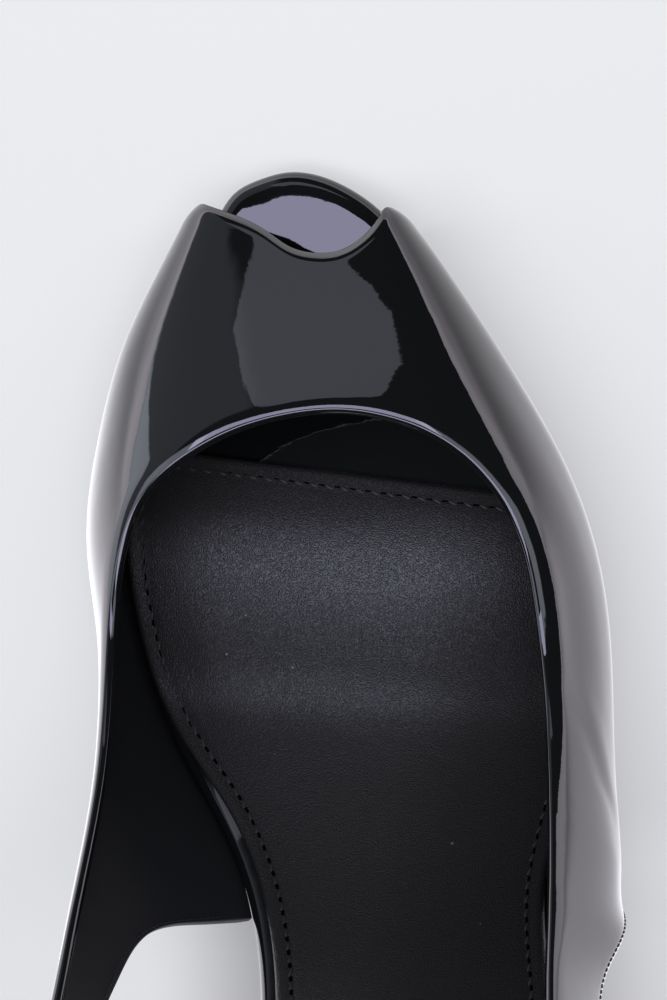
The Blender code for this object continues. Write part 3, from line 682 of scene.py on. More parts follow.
# %% Slabs on the bed
def patch_grid(loop, across, along_it):
    """A grid of values inside a closed loop whose first point is the middle of the front side."""
    loop = np.roll(loop, across // 2, axis=0)
    front = loop[:across + 1][::-1]
    medial = loop[across:across + along_it + 1]
    rear = loop[across + along_it:2 * across + along_it + 1]
    lateral = np.concatenate([loop[2 * across + along_it:], loop[:1]])[::-1]
    down = (np.arange(along_it + 1) / along_it)[:, None, None]
    over = (np.arange(across + 1) / across)[None, :, None]
    sides = medial[:, None] * (1 - over) + lateral[:, None] * over
    ends = front[None] * (1 - down) + rear[None] * down
    corners = (front[:1] * (1 - over) + front[-1:] * over) * (1 - down)
    corners = corners + (rear[:1] * (1 - over) + rear[-1:] * over) * down
    return sides + ends - corners


def slab(name, outline, rim, across, along_it, shape_top=None):
    """A closed slab: rim rows are (outset, depth) from its top edge to its base edge."""
    total = len(outline)
    loops = [outset(outline, out) for out, _ in rim]
    depths = [np.broadcast_to(depth, total) for _, depth in rim]
    points = [on_bed(loop[:, 0], loop[:, 1], depth) for loop, depth in zip(loops, depths)]
    faces = [grid_quads(len(rim), total, False)]
    count = len(rim) * total
    for row in (0, len(rim) - 1):
        plan = patch_grid(loops[row], across, along_it)
        depth = patch_grid(depths[row].reshape(-1, 1).astype(float), across, along_it)[..., 0]
        index = patch_grid(np.arange(total, dtype=float).reshape(-1, 1) + row * total, across, along_it)
        index = np.rint(index[..., 0]).astype(int)
        inside = index[1:-1, 1:-1]
        inside[:] = count + np.arange(inside.size).reshape(inside.shape)
        count += inside.size
        points.append(on_bed(plan[..., 0], plan[..., 1], depth)[1:-1, 1:-1].reshape(-1, 3))
        quads = np.stack([index[:-1, :-1], index[1:, :-1], index[1:, 1:], index[:-1, 1:]], -1).reshape(-1, 4)
        faces.append(quads if row == 0 else quads[:, ::-1])
    points = np.concatenate(points)
    if shape_top is not None:
        points = shape_top(points)
    points[:, 2] = np.maximum(points[:, 2], 0)
    return piece_from(name, points, np.concatenate(faces))


# %% [markdown]
# The insole is a thin board wrapped in the same patent leather. Its front rim shows in the toe opening as
# a thick rounded lip, and its side rim shows at the open waist. The rim is a quarter circle whose radius
# grows towards the toe, and it eases into the top. In front the whole board bends down a little, and that
# slope is what mirrors the softbox.

# %% Insole
LIP_RADIUS = 3.0
RIM_RADIUS = 1.6
LIP_ENDS = (8, 40)
LIP_TURNS = 11
LIP_EASING = 0.09
EASING_INSETS = (1.6, 1.35, 1.15)
LIP_BEND = 1.9
LIP_BEND_LENGTH = 26.0
LIP_BEND_FROM = -5.2
BOARD_BASE_INSET = 0.25
INSOLE_ACROSS, INSOLE_ALONG = 44, 170


def make_insole():
    """The lip turns quickly at its outer edge and then eases slowly into the level top."""
    outline = resample(INSOLE_EDGE, 2 * (INSOLE_ACROSS + INSOLE_ALONG))
    radius = RIM_RADIUS + (LIP_RADIUS - RIM_RADIUS) * (1 - smooth_step(*LIP_ENDS, outline[:, 1]))
    turns = np.radians(np.linspace(0, 90, LIP_TURNS))
    rim = []
    for inset in (*EASING_INSETS, *(1 - math.sin(turn) for turn in turns)):
        round_part = 1 - math.sqrt(1 - (1 - min(inset, 1)) ** 2)
        easing = LIP_EASING * (1 - inset / EASING_INSETS[0]) ** 2
        rim.append((-radius * inset, radius * (round_part + easing)))
    rim.append((-BOARD_BASE_INSET, INSOLE_THICKNESS))
    return slab("insole_cover", outline, rim, INSOLE_ACROSS, INSOLE_ALONG, shape_lip)


def shape_lip(points):
    """The lip bends down towards the toe, so that its top mirrors the light in front."""
    ahead = np.clip(1 - (points[:, 1] - LIP_BEND_FROM) / LIP_BEND_LENGTH, 0, None)
    base = on_bed(points[:, 0], points[:, 1], INSOLE_THICKNESS)[:, 2]
    above = smooth_step(0, 1, points[:, 2] - base)
    points[:, 2] -= LIP_BEND * ahead**2 * above
    return points


insole = make_insole()
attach(insole, "root")
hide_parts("insole")
print("insole:", len(insole.data.polygons), "faces")

# %% [markdown]
# The sock is soft leather over thin foam. It has a straight front edge, a flat sewn margin all round, and
# a pad that swells inside the seam.

# %% Sock outline
SOCK_FRONT_M = (-38.2, 42.2)
SOCK_FRONT_L = (33.2, 58.2)
SOCK_INSET = 1.2
SOCK_WAIST_INSET = 2.0
SOCK_DRAWS_IN = (78, 112)
SOCK_MIDDLE = (-4, 12)
SOCK_CORNER = 1.5
SOCK_ACROSS, SOCK_ALONG = 56, 150
SEAM_INSET = 2.7


def sock_outline():
    """Straight across the front, then inside the insole's edge to the heel."""
    heel = int(np.argmin(np.linalg.norm(INSOLE_EDGE - np.array(HEEL_END), axis=1)))
    inner_side = 1 - smooth_step(*SOCK_MIDDLE, INSOLE_EDGE[:, 0])
    drawn_in = SOCK_WAIST_INSET * smooth_step(*SOCK_DRAWS_IN, INSOLE_EDGE[:, 1]) * inner_side
    inner = outset(INSOLE_EDGE, -(SOCK_INSET + drawn_in))
    medial = inner[:heel][inner[:heel, 1] > SOCK_FRONT_M[1] + SOCK_CORNER]
    lateral = inner[heel:][inner[heel:, 1] > SOCK_FRONT_L[1] + SOCK_CORNER]
    start = np.array([medial[0][0], SOCK_FRONT_M[1]])
    end = np.array([lateral[-1][0], SOCK_FRONT_L[1]])
    share = np.arange(SOCK_ACROSS)[:, None] / SOCK_ACROSS
    front = end + (start - end) * share
    sides = np.concatenate([start[None], medial, lateral, end[None]])
    knots = lengths_along(sides)
    count = SOCK_ACROSS + 2 * SOCK_ALONG
    at = knots[-1] * np.arange(count) / count
    round_it = np.stack([np.interp(at, knots, sides[:, axis]) for axis in (0, 1)], -1)
    return np.roll(np.concatenate([front, round_it]), -(SOCK_ACROSS // 2), axis=0)


SOCK_EDGE = sock_outline()
print("sock:", round(lengths_along(SOCK_EDGE)[-1]), "mm round its edge")

# %% [markdown]
# The foot has left the sock a little uneven: a low swell under the ball, a wavy dip behind it and a second
# swell. These are heights added to the top only, in a short table, because a cloth simulation of so thin
# a pad would leave them out. Its shine is painted: two tables, along and across, set how strongly it
# mirrors the lamps, which paints a highlight over the ball and shade at the front edge and the sides.

# %% Sock surface
PAD_RISE = 0.8
SEAM_DIP = 0.4
SEAM_DIP_WIDTH = 0.7
CHUNK = 2000
SOCK_HALFWAY = -(GAP + 1.2)
SWELL_COLUMNS = ("x", "back", "wide", "long", "lean", "rise")
SWELLS = (
    (-2.0, 76.0, 26.0, 13.0, 0.0, 1.2),
    (4.0, 80.5, 24.0, 3.6, 0.28, -0.75),
    (2.0, 89.0, 17.0, 5.0, 0.1, 0.35),
    (-24.0, 70.0, 9.0, 12.0, 0.0, -0.3),
    (20.0, 99.0, 24.0, 6.0, 0.1, -0.3),
)


def edge_distance(points):
    """The distance in plan from each point to the sock's edge, a part of the points at a time."""
    far = np.full(len(points), np.inf)
    for start in range(0, len(points), CHUNK):
        part = points[start:start + CHUNK, None, :2]
        far[start:start + CHUNK] = np.linalg.norm(part - SOCK_EDGE[None], axis=2).min(1)
    return far


def sock_height(points):
    """How far the sock's top stands above its plain slab."""
    inside = edge_distance(points)
    height = PAD_RISE * smooth_step(SEAM_INSET - 1, SEAM_INSET + 11, inside)
    height -= SEAM_DIP * np.exp(-((inside - SEAM_INSET) / SEAM_DIP_WIDTH) ** 2)
    padded = smooth_step(SEAM_INSET + 1, SEAM_INSET + 10, inside)
    for row in SWELLS:
        swell = dict(zip(SWELL_COLUMNS, row))
        beside = points[:, 0] - swell["x"]
        behind = points[:, 1] - swell["back"] - swell["lean"] * beside
        spread = (beside / swell["wide"]) ** 2 + (behind / swell["long"]) ** 2
        height += swell["rise"] * padded * np.exp(-spread)
    return height


def shape_sock(points):
    """The top of the slab raised, and its underside left on the insole."""
    halfway = on_bed(points[:, 0], points[:, 1], SOCK_HALFWAY)[:, 2]
    raised = points[:, 2] > halfway
    points[raised, 2] += sock_height(points[raised])
    return points


# Painted sheen: how strongly the sock mirrors the lamps, along it and across it, standing in for its
# highlight and shade.
PAINTED_SHEEN_ALONG = (
    (50, 55, 57, 60, 63, 66, 70, 74, 78, 82, 86, 88, 91, 94, 110, 215),
    (0.15, 0.18, 0.3, 0.65, 0.95, 1.1, 0.85, 0.62, 0.45, 0.42, 0.6, 0.58, 0.3, 0.22, 0.35, 0.4),
)
PAINTED_SHEEN_ACROSS = (
    (-34, -26, -18, -8, 4, 13, 19, 26, 33),
    (0.5, 0.7, 0.9, 1.0, 1.05, 1.0, 0.7, 0.36, 0.25),
)
PAINTED_SHEEN_SKEWS = (0.12, 0.25)
PAINTED_SHEEN_CENTRE = (-4, 66)
PAINTED_SHEEN_MOST = 1.2


def painted_sock_sheen(points):
    """How strongly the sock mirrors the lamps, painted by place: a painted highlight over the ball, painted
    shade near the seams at the front and sides.
    """
    beside, behind = points[:, 0] - PAINTED_SHEEN_CENTRE[0], points[:, 1] - PAINTED_SHEEN_CENTRE[1]
    length = np.interp(points[:, 1] - PAINTED_SHEEN_SKEWS[0] * beside, *PAINTED_SHEEN_ALONG)
    width = np.interp(points[:, 0] + PAINTED_SHEEN_SKEWS[1] * behind, *PAINTED_SHEEN_ACROSS)
    return np.clip(length * width, 0, PAINTED_SHEEN_MOST)


SOCK_RIM = (1.1, 0.9)
SOCK_RIM_TURNS = 7
SOCK_BASE = -(GAP + FACET_ALLOWANCE)


def make_sock():
    """A slab whose upper edge is rounded off."""
    rim = []
    for turn in np.radians(np.linspace(0, 90, SOCK_RIM_TURNS)):
        fall = SOCK_RIM[1] * (1 - math.cos(turn))
        rim.append((-SOCK_RIM[0] * (1 - math.sin(turn)), SOCK_BASE - SOCK_THICKNESS + fall))
    rim.append((0.0, SOCK_BASE))
    return slab("padded_sock", SOCK_EDGE, rim, SOCK_ACROSS, SOCK_ALONG, shape_sock)


sock = make_sock()
# The painted sheen, kept at each point of the sock.
sock_places = (np.array([tuple(vertex.co) for vertex in sock.data.vertices]) / MILLIMETRE) * (1, -1, 1)
point_values(sock, "painted_sheen", painted_sock_sheen(sock_places + (MIDDLE_X, TOE_TO_ORIGIN, 0)))
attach(sock, "root")
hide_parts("sock")
print("sock:", len(sock.data.polygons), "faces")

# %% [markdown]
# The sole is a leather slab that is thick at the tread and thins at the waist. It stands out to the face
# of the upper where the upper is lasted over it, and draws in under the open waist.

# %% Outsole
SOLE_DEPTH = 7.95
WAIST_DEPTH = 7.0
SOLE_THINS = (78, 103)
SOLE_WIDENS = (6, 14)
SOLE_NARROWS = (112, 126)
SOLE_DRAWN_IN = 1.0
SOLE_TOP_EDGE = ((0.3, 0.0), (0.08, 0.08), (0.0, 0.3))
SOLE_BASE_EDGE = ((0.2, 0.5), (0.35, 0.15), (0.7, 0.0))
SOLE_ACROSS, SOLE_ALONG = 32, 130


def sole_base(back):
    return SOLE_DEPTH + (WAIST_DEPTH - SOLE_DEPTH) * smooth_step(*SOLE_THINS, back)


def make_outsole():
    """The edge of the sole is cut square, with both its corners taken off."""
    outline = resample(INSOLE_EDGE, 2 * (SOLE_ACROSS + SOLE_ALONG))
    back = outline[:, 1]
    lasted = smooth_step(*SOLE_WIDENS, back) * (1 - smooth_step(*SOLE_NARROWS, back))
    out = -SOLE_DRAWN_IN + (SOLE_DRAWN_IN + WALL) * lasted
    top = INSOLE_THICKNESS + GAP + FACET_ALLOWANCE
    base = sole_base(back)
    rim = [(out - inset, top + fall) for inset, fall in SOLE_TOP_EDGE]
    rim.append((out - 0.05, (top + base) / 2))
    rim += [(out - inset, base - rise) for inset, rise in SOLE_BASE_EDGE]
    return slab("leather_sole", outline, rim, SOLE_ACROSS, SOLE_ALONG)


outsole = make_outsole()
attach(outsole, "root")
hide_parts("outsole")
print("sole:", len(outsole.data.polygons), "faces")

# %% [markdown]
# The heel and its top piece have good shapes in the frame, so they start from copies of those solids. The
# loose triangles are merged and joined into quads, sharp edges are creased so that they hold, and a
# Subdivision Surface modifier makes the rest round.

# %% Heel and top piece
JOIN_FACES = math.radians(30)
JOIN_SHAPES = math.radians(60)
HOLD_EDGES = math.radians(45)
HELD = 0.9


def smooth_copy(node, name, levels):
    """A copy of a node, rounded by a subdivision surface that keeps its sharp edges."""
    bpy.ops.object.select_all(action="DESELECT")
    source = frame["nodes"][node]
    piece = bpy.data.objects.new(name, source.data.copy())
    bpy.context.scene.collection.objects.link(piece)
    bpy.context.view_layer.objects.active = piece
    piece.select_set(True)
    bpy.ops.object.mode_set(mode="EDIT")
    bpy.ops.mesh.select_all(action="SELECT")
    bpy.ops.mesh.remove_doubles(threshold=1e-6)
    bpy.ops.mesh.tris_convert_to_quads(face_threshold=JOIN_FACES, shape_threshold=JOIN_SHAPES)
    bpy.ops.mesh.select_all(action="DESELECT")
    bpy.ops.mesh.select_mode(type="EDGE")
    bpy.ops.mesh.edges_select_sharp(sharpness=HOLD_EDGES)
    bpy.ops.object.mode_set(mode="OBJECT")
    crease = piece.data.attributes.new("crease_edge", "FLOAT", "EDGE")
    crease.data.foreach_set("value", [HELD * edge.select for edge in piece.data.edges])
    modifier = piece.modifiers.new("round", "SUBSURF")
    modifier.levels = levels
    modifier.render_levels = levels
    bpy.ops.object.modifier_apply(modifier="round")
    bpy.ops.object.shade_smooth_by_angle(angle=SHARP)
    piece.data.materials.clear()
    return piece


heel = smooth_copy("heel", "covered_heel", 2)
heel_tip = smooth_copy("heel_tip", "heel_top_piece", 1)
for piece, node, slot in ((heel, "heel", "heel_cover"), (heel_tip, "heel_tip", "top_piece")):
    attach(piece, "root")
    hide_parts(node)
print("heel:", len(heel.data.polygons), "faces")

# %% [markdown]
# Stitches. One thread stitch is modelled with operators, as a ball of few faces, and stretched and copied
# along each seam. The needle holes are small black discs at the joints of the stitches, painted shade for
# holes that are not cut. Both float LOFT millimetres over the leather, so that they never sink into it
# between two points of a seam.

# %% Stitches
LOFT = 0.07
FLATTENED = 0.7
HOLE_SIDES = 10
HOLE_SQUEEZE = 0.8
HOLE_THICKNESS = 0.02


def model_stitch():
    """A ball of few faces whose poles lie along the seam, its points and faces put in a fixed order."""
    bpy.ops.mesh.primitive_uv_sphere_add(segments=8, ring_count=6, radius=1)
    ball = bpy.context.object
    bpy.ops.object.mode_set(mode="EDIT")
    bpy.ops.mesh.select_all(action="SELECT")
    bpy.ops.transform.rotate(value=math.radians(90), orient_axis="Y")
    bpy.ops.object.mode_set(mode="OBJECT")
    points = np.array([tuple(vertex.co) for vertex in ball.data.vertices])
    order = np.lexsort(np.round(points, 5).T)
    place_of = np.argsort(order)
    faces = []
    for face in ball.data.polygons:
        corners = place_of[list(face.vertices)].tolist()
        first = corners.index(min(corners))
        faces.append(corners[first:] + corners[:first])
    bpy.data.objects.remove(ball)
    return points[order], sorted(faces)


STITCH = model_stitch()


def model_disc():
    """A thin closed disc, its top at level 0 and its underside at level -1."""
    turns = np.arange(HOLE_SIDES) * math.tau / HOLE_SIDES
    points = np.array([(math.cos(turn), math.sin(turn), -low) for low in (0, 1) for turn in turns])
    top, base = list(range(HOLE_SIDES)), list(range(HOLE_SIDES, 2 * HOLE_SIDES))
    sides = [[top[k - 1], base[k - 1], base[k], top[k]] for k in range(HOLE_SIDES)]
    return points, [top, base[::-1], *sides]


DISC = model_disc()


def copies(name, shape, centres, forward, upward, size, slant=0.0):
    """One object that holds a copy of the shape at every centre.

    The pattern counts back from the toe and the frame towards it, which mirrors what is placed in the
    pattern, so every face is turned round.
    """
    forward = unit(forward)
    upward = unit(upward - forward * (upward * forward).sum(-1, keepdims=True))
    sideways = np.cross(upward, forward)
    turned = forward * math.cos(slant) + sideways * math.sin(slant)
    beside = np.cross(upward, turned)
    points, faces = shape
    scaled = points * np.array(size)
    placed = (centres[:, None] + turned[:, None] * scaled[None, :, :1]
              + beside[:, None] * scaled[None, :, 1:2] + upward[:, None] * scaled[None, :, 2:])
    starts = np.arange(len(centres)) * len(points)
    every = [[index + start for index in face[::-1]] for start in starts for face in faces]
    return piece_from(name, placed.reshape(-1, 3), every)


def places_along(points, normals, pitch, closed):
    """Places at an even pitch along a seam, with directions forward and upward."""
    if closed:
        points = np.concatenate([points, points[:1]])
        normals = np.concatenate([normals, normals[:1]])
    knots = lengths_along(points)
    count = max(2, int(round(knots[-1] / pitch)))
    at = (np.arange(count) + 0.5) * knots[-1] / count
    centre, before, after, upward = (
        np.stack([np.interp(where, knots, values[:, axis]) for axis in range(3)], -1)
        for where, values in ((at, points), (at - 0.2, points), (at + 0.2, points), (at, normals))
    )
    return centre, after - before, upward


def sew(name, points, normals, pitch, length, radius, slant=0.0, closed=False, hole=0.0):
    """A run of stitches and, if hole is not 0, its needle holes."""
    centre, forward, upward = places_along(points, normals, pitch, closed)
    size = (length / 2, radius, radius * FLATTENED)
    run = [copies(name, STITCH, centre + unit(upward) * LOFT, forward, upward, size, slant)]
    if hole:
        step = pitch / 2
        spots = centre + unit(forward) * step + unit(upward) * LOFT
        size = (hole, hole * HOLE_SQUEEZE, HOLE_THICKNESS)
        run.append(copies(name + "_holes", DISC, spots, forward, upward, size))
    for piece in run:
        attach(piece, "root")
    return run


# %% [markdown]
# The seams. One runs all round the sock, one beside the cut edge of the wings, on the face and on the
# lining, and one inside the upper, below the fold. Each has its own pitch, thread and slant, in
# millimetres and radians, and only the sock's holes are large enough to show.

# %% Seams
SEAM_POINTS = 900
WING_SEAM_ROW = 5
WING_SEAM_ENDS = 3
LINING_SEAM_DOWN = 8


def sock_seam():
    """The line inside the sock's edge, on its top."""
    seam = resample(outset(resample(SOCK_EDGE, SEAM_POINTS), -SEAM_INSET), SEAM_POINTS)
    points = on_bed(seam[:, 0], seam[:, 1], SOCK_BASE - SOCK_THICKNESS)
    points[:, 2] += sock_height(points)
    slope = bed_slope(points[:, 1])
    normals = np.stack([np.zeros(len(points)), -np.sin(slope), np.cos(slope)], -1)
    return points, normals


def wing_seams():
    """Lines beside the cut edge, on the face and on the lining."""
    _, _, rolled, inner, outward = SECTION
    medial = np.arange(FIRST_OF["feather_m"] - WING_SEAM_ENDS)
    lateral = np.arange(FIRST_OF["wing_l"] + WING_SEAM_ENDS, len(LOWER))
    order = np.concatenate([lateral, medial])
    out = outward[WING_SEAM_ROW][order]
    return (rolled[WING_SEAM_ROW][order], out), (inner[WING_SEAM_ROW][order], -out)


def lining_seam():
    """A line all round the inside, below the fold."""
    _, _, _, inner, outward = SECTION
    row = len(FACE) - LINING_SEAM_DOWN
    return inner[row], -outward[row]


thread_runs = sew("sock_stitch", *sock_seam(), pitch=2.6, length=1.65, radius=0.26, slant=0.35,
                  closed=True, hole=0.56)
for number, seam in enumerate(wing_seams()):
    thread_runs += sew(f"wing_stitch_{number}", *seam, pitch=1.05, length=0.85, radius=0.17)
thread_runs += sew("lining_stitch", *lining_seam(), pitch=1.8, length=1.4, radius=0.16, closed=True)
print("stitches:", sum(len(run.data.polygons) for run in thread_runs), "faces")

# %% [markdown]
# Node helpers. The floor, the room and the finishes are wired from the same few parts: a node with its
# inputs given, a Math node on numbers or sockets, a soft step that serves as a mask, and sums and products
# of masks.

# %% Node helpers
def add_node(tree, kind, inputs=None, **settings):
    """A node with its settings, its inputs given as numbers or as other nodes' outputs."""
    node = tree.nodes.new(kind)
    for name, value in settings.items():
        setattr(node, name, value)
    for name, value in (inputs or {}).items():
        if isinstance(value, bpy.types.NodeSocket):
            tree.links.new(value, node.inputs[name])
        else:
            node.inputs[name].default_value = value
    return node


def calc(tree, operation, *values):
    """A Math node on numbers or on other nodes' outputs."""
    node = add_node(tree, "ShaderNodeMath", dict(enumerate(values)), operation=operation)
    return node.outputs[0]


def ramp(tree, value, start, end):
    """0 before start and 1 after end; start may be greater than end."""
    rising = start < end
    node = add_node(tree, "ShaderNodeMapRange", {
        "Value": value, "From Min": min(start, end), "From Max": max(start, end),
        "To Min": 0.0 if rising else 1.0, "To Max": 1.0 if rising else 0.0,
    }, interpolation_type="SMOOTHSTEP")
    return node.outputs["Result"]


def all_of(tree, *masks):
    """Where every mask is 1."""
    total = masks[0]
    for mask in masks[1:]:
        total = calc(tree, "MULTIPLY", total, mask)
    return total


def add_up(tree, level, masks, strengths):
    """A level, and more of it where each mask is 1."""
    for mask, strength in zip(masks, strengths):
        level = calc(tree, "ADD", calc(tree, "MULTIPLY", mask, strength), level)
    return level


def axes_of(tree, output):
    """The x, y and z of a Texture Coordinate output."""
    place = add_node(tree, "ShaderNodeTexCoord").outputs[output]
    parts = add_node(tree, "ShaderNodeSeparateXYZ", {0: place})
    return (parts.outputs[axis] for axis in "XYZ")


print("node helpers ready")

# %% [markdown]
# The floor is a sheet of pale card. It is lit by the lamps, and it glows a little by itself, which keeps
# it even and pale all over the picture. The sides of the shoe are bright only because the card is
# mirrored in them, so for glossy rays it glows more, by place: behind the toe, on the inner side, far out
# to both sides and in front. Close to the shoe it glows less, as card does in a contact shadow.

# %% Floor
FLOOR_SIZE = 6.0
FLOOR_COLOUR = (0.33, 0.32, 0.265)
FLOOR_ROUGHNESS = 0.7
FLOOR_SPECULAR = 0.1
FLOOR_GLOW = (0.435, 0.43, 0.455, 1)
# Painted light on the card: a slope that is paler towards the front, and a painted shadow under the waist.
FLOOR_SLOPE = (0.1, 0.5)
FLOOR_MIDDLE = 0.95
FLOOR_LIMITS = (0.7, 1.15)
WAIST_SIDES = (0.045, 0.02)
WAIST_FRONT = (0.02, -0.01)
WAIST_SHADOW = 0.42
MIRRORED_LEVEL = 0.2
MIRRORED_PLACES = {"behind": (0.11, 0.04), "inner": (0.0, -0.03), "far": (0.07, 0.3), "front": (0.112, 0.15)}
MIRRORED_MORE = (4.0, 0.9, 3.2, 1.4)
SHADOW_CENTRE = 0.025
SHADOW_HALF = (0.042, 0.085)
SHADOW_FADE = (1.0, 1.5)
SHADOW_LEVEL = 0.35


def floor_shade(tree, x, y, away):
    """How light the card is painted: paler towards the front, and a painted shadow under the raised waist."""
    slope = calc(tree, "MULTIPLY_ADD", y, FLOOR_SLOPE[1], calc(tree, "MULTIPLY", x, FLOOR_SLOPE[0]))
    shade = calc(tree, "MAXIMUM", calc(tree, "ADD", slope, FLOOR_MIDDLE), FLOOR_LIMITS[0])
    shade = calc(tree, "MINIMUM", shade, FLOOR_LIMITS[1])
    under = all_of(tree, ramp(tree, away, *WAIST_SIDES), ramp(tree, y, *WAIST_FRONT))
    kept = calc(tree, "SUBTRACT", 1.0, calc(tree, "MULTIPLY", under, WAIST_SHADOW))
    return calc(tree, "MULTIPLY", shade, kept)


def floor_in_mirrors(tree, x, y, away):
    """How much more the card glows for glossy rays."""
    ranges = MIRRORED_PLACES
    masks = (ramp(tree, y, *ranges["behind"]), ramp(tree, x, *ranges["inner"]),
             ramp(tree, away, *ranges["far"]), ramp(tree, y, *ranges["front"]))
    glow = add_up(tree, MIRRORED_LEVEL, masks, MIRRORED_MORE)
    across = calc(tree, "DIVIDE", x, SHADOW_HALF[0])
    along_it = calc(tree, "DIVIDE", calc(tree, "SUBTRACT", y, SHADOW_CENTRE), SHADOW_HALF[1])
    squares = calc(tree, "MULTIPLY", across, across), calc(tree, "MULTIPLY", along_it, along_it)
    reach = calc(tree, "SQRT", calc(tree, "ADD", *squares))
    lit = calc(tree, "MULTIPLY", ramp(tree, reach, *SHADOW_FADE), 1 - SHADOW_LEVEL)
    return calc(tree, "MULTIPLY", glow, calc(tree, "ADD", SHADOW_LEVEL, lit))


def make_floor():
    """The card, a plane on which the shoe stands."""
    bpy.ops.mesh.primitive_plane_add(size=FLOOR_SIZE, location=(0, 0, 0))
    floor = bpy.context.object
    floor.name = "studio_floor"
    material = bpy.data.materials.new("pale_floor")
    material.use_nodes = True
    tree = material.node_tree
    shader = tree.nodes["Principled BSDF"]
    x, y, _ = axes_of(tree, "Object")
    away = calc(tree, "ABSOLUTE", x)
    shade = floor_shade(tree, x, y, away)
    colour = add_node(tree, "ShaderNodeVectorMath", {0: FLOOR_COLOUR, "Scale": shade}, operation="SCALE")
    tree.links.new(colour.outputs["Vector"], shader.inputs["Base Color"])
    shader.inputs["Roughness"].default_value = FLOOR_ROUGHNESS
    shader.inputs["Specular IOR Level"].default_value = FLOOR_SPECULAR
    glossy = add_node(tree, "ShaderNodeLightPath").outputs["Is Glossy Ray"]
    more = calc(tree, "MULTIPLY", glossy, floor_in_mirrors(tree, x, y, away))
    shader.inputs["Emission Color"].default_value = FLOOR_GLOW
    tree.links.new(calc(tree, "ADD", more, shade), shader.inputs["Emission Strength"])
    floor.data.materials.append(material)
    return floor


print("floor:", make_floor().name)

# %% [markdown]
# The room is painted in the world, by direction, because black patent leather shows nothing but what it
# mirrors. A dim card in front makes the grey patch in the middle of the vamp. A dim fill and a low pale
# wall stand on the inner side, and two panels overhead give the sides of the shoe their soft glow. The
# rest of the room is almost dark, and that keeps the leather black. The camera itself sees plain pale
# grey past the floor. u and v are where a direction meets a ceiling one unit up, scaled by PLANE_SCALE.

# %% Room
ROOM_LEVEL = 0.06
ROOM_COLOUR = (0.92, 1.04, 1.13, 1)
SEEN_COLOUR = (0.8, 0.8, 0.83, 1)
PLANE_SCALE = 0.7
LEAST_HEIGHT = 0.01
CARD = {"left": (0.014, 0.024), "right": (-0.63, -0.64), "near": (0.36, 0.40), "far": (1.16, 1.10)}
CARD_LEANS = (0.386, 1.0)
FILL = {"side": (-0.2, -0.3), "top": (0.76, 0.70), "back": (-0.1, 0.1), "foot": (-0.02, 0.05)}
LOW_WALL = {"steps_up": (-0.82, -0.92), "step": 0.28, "top": (0.05, -0.02), "side": (-0.6, -0.75)}
PANELS = {"middle": -0.08, "inner": (0.2, 0.24), "outer": (1.2, 1.05), "ends": (0.2, 0.16), "up": (0.3, 0.4)}
LEVELS = {"card": 1.1, "fill": 0.42, "low wall": 2.2, "panels": 2.4}


def room_masks(tree):
    """The front card, the fill, the low wall and the two panels, in the order of LEVELS."""
    x, y, z = axes_of(tree, "Generated")
    over = calc(tree, "MAXIMUM", z, LEAST_HEIGHT)
    u = calc(tree, "MULTIPLY", calc(tree, "DIVIDE", x, over), PLANE_SCALE)
    v = calc(tree, "MULTIPLY", calc(tree, "DIVIDE", y, over), PLANE_SCALE)
    left = calc(tree, "ADD", u, calc(tree, "MULTIPLY", v, CARD_LEANS[0]))
    right = calc(tree, "SUBTRACT", u, calc(tree, "MULTIPLY", v, CARD_LEANS[1]))
    card = all_of(tree, ramp(tree, left, *CARD["left"]), ramp(tree, right, *CARD["right"]),
                  ramp(tree, v, *CARD["near"]), ramp(tree, v, *CARD["far"]))
    fill = all_of(tree, ramp(tree, x, *FILL["side"]), ramp(tree, z, *FILL["top"]),
                  ramp(tree, y, *FILL["back"]), ramp(tree, z, *FILL["foot"]))
    height = calc(tree, "MULTIPLY", ramp(tree, x, *LOW_WALL["steps_up"]), LOW_WALL["step"])
    low_wall = all_of(tree, ramp(tree, calc(tree, "SUBTRACT", z, height), *LOW_WALL["top"]),
                      ramp(tree, x, *LOW_WALL["side"]))
    beside = calc(tree, "ABSOLUTE", calc(tree, "SUBTRACT", u, PANELS["middle"]))
    panels = all_of(tree, ramp(tree, beside, *PANELS["inner"]),
                    ramp(tree, calc(tree, "ABSOLUTE", u), *PANELS["outer"]),
                    ramp(tree, calc(tree, "ABSOLUTE", v), *PANELS["ends"]), ramp(tree, z, *PANELS["up"]))
    return card, fill, low_wall, panels


def make_world():
    """The dark room for every ray but the camera's own."""
    world_look = bpy.data.worlds.new("dark_room")
    bpy.context.scene.world = world_look
    world_look.use_nodes = True
    tree = world_look.node_tree
    room = tree.nodes["Background"]
    room.inputs["Color"].default_value = ROOM_COLOUR
    level = add_up(tree, ROOM_LEVEL, room_masks(tree), LEVELS.values())
    tree.links.new(level, room.inputs["Strength"])
    pale = add_node(tree, "ShaderNodeBackground", {"Color": SEEN_COLOUR})
    seen = add_node(tree, "ShaderNodeLightPath").outputs["Is Camera Ray"]
    mix = add_node(tree, "ShaderNodeMixShader", {
        0: seen, 1: room.outputs["Background"], 2: pale.outputs["Background"],
    })
    tree.links.new(mix.outputs["Shader"], tree.nodes["World Output"].inputs["Surface"])
    return world_look


print("world:", make_world().name)

# %% [markdown]
# Two lamps hang over the shoe and point straight down. The softbox in front lights the floor and is
# mirrored in the lip of the insole and in the folded edge at the throat. The strip behind does the same
# for the rear of the edge and shines on the satin of the sock. Their light is a little blue.

# %% Lights
LIGHTS = (
    ("front_softbox", (-0.12, 0.24, 1.0), (0.9, 0.19), 4.1, (0.73, 0.77, 1.0)),
    ("rear_strip", (-0.1, -0.27, 0.95), (1.0, 0.3), 8.0, (0.76, 0.78, 1.0)),
)


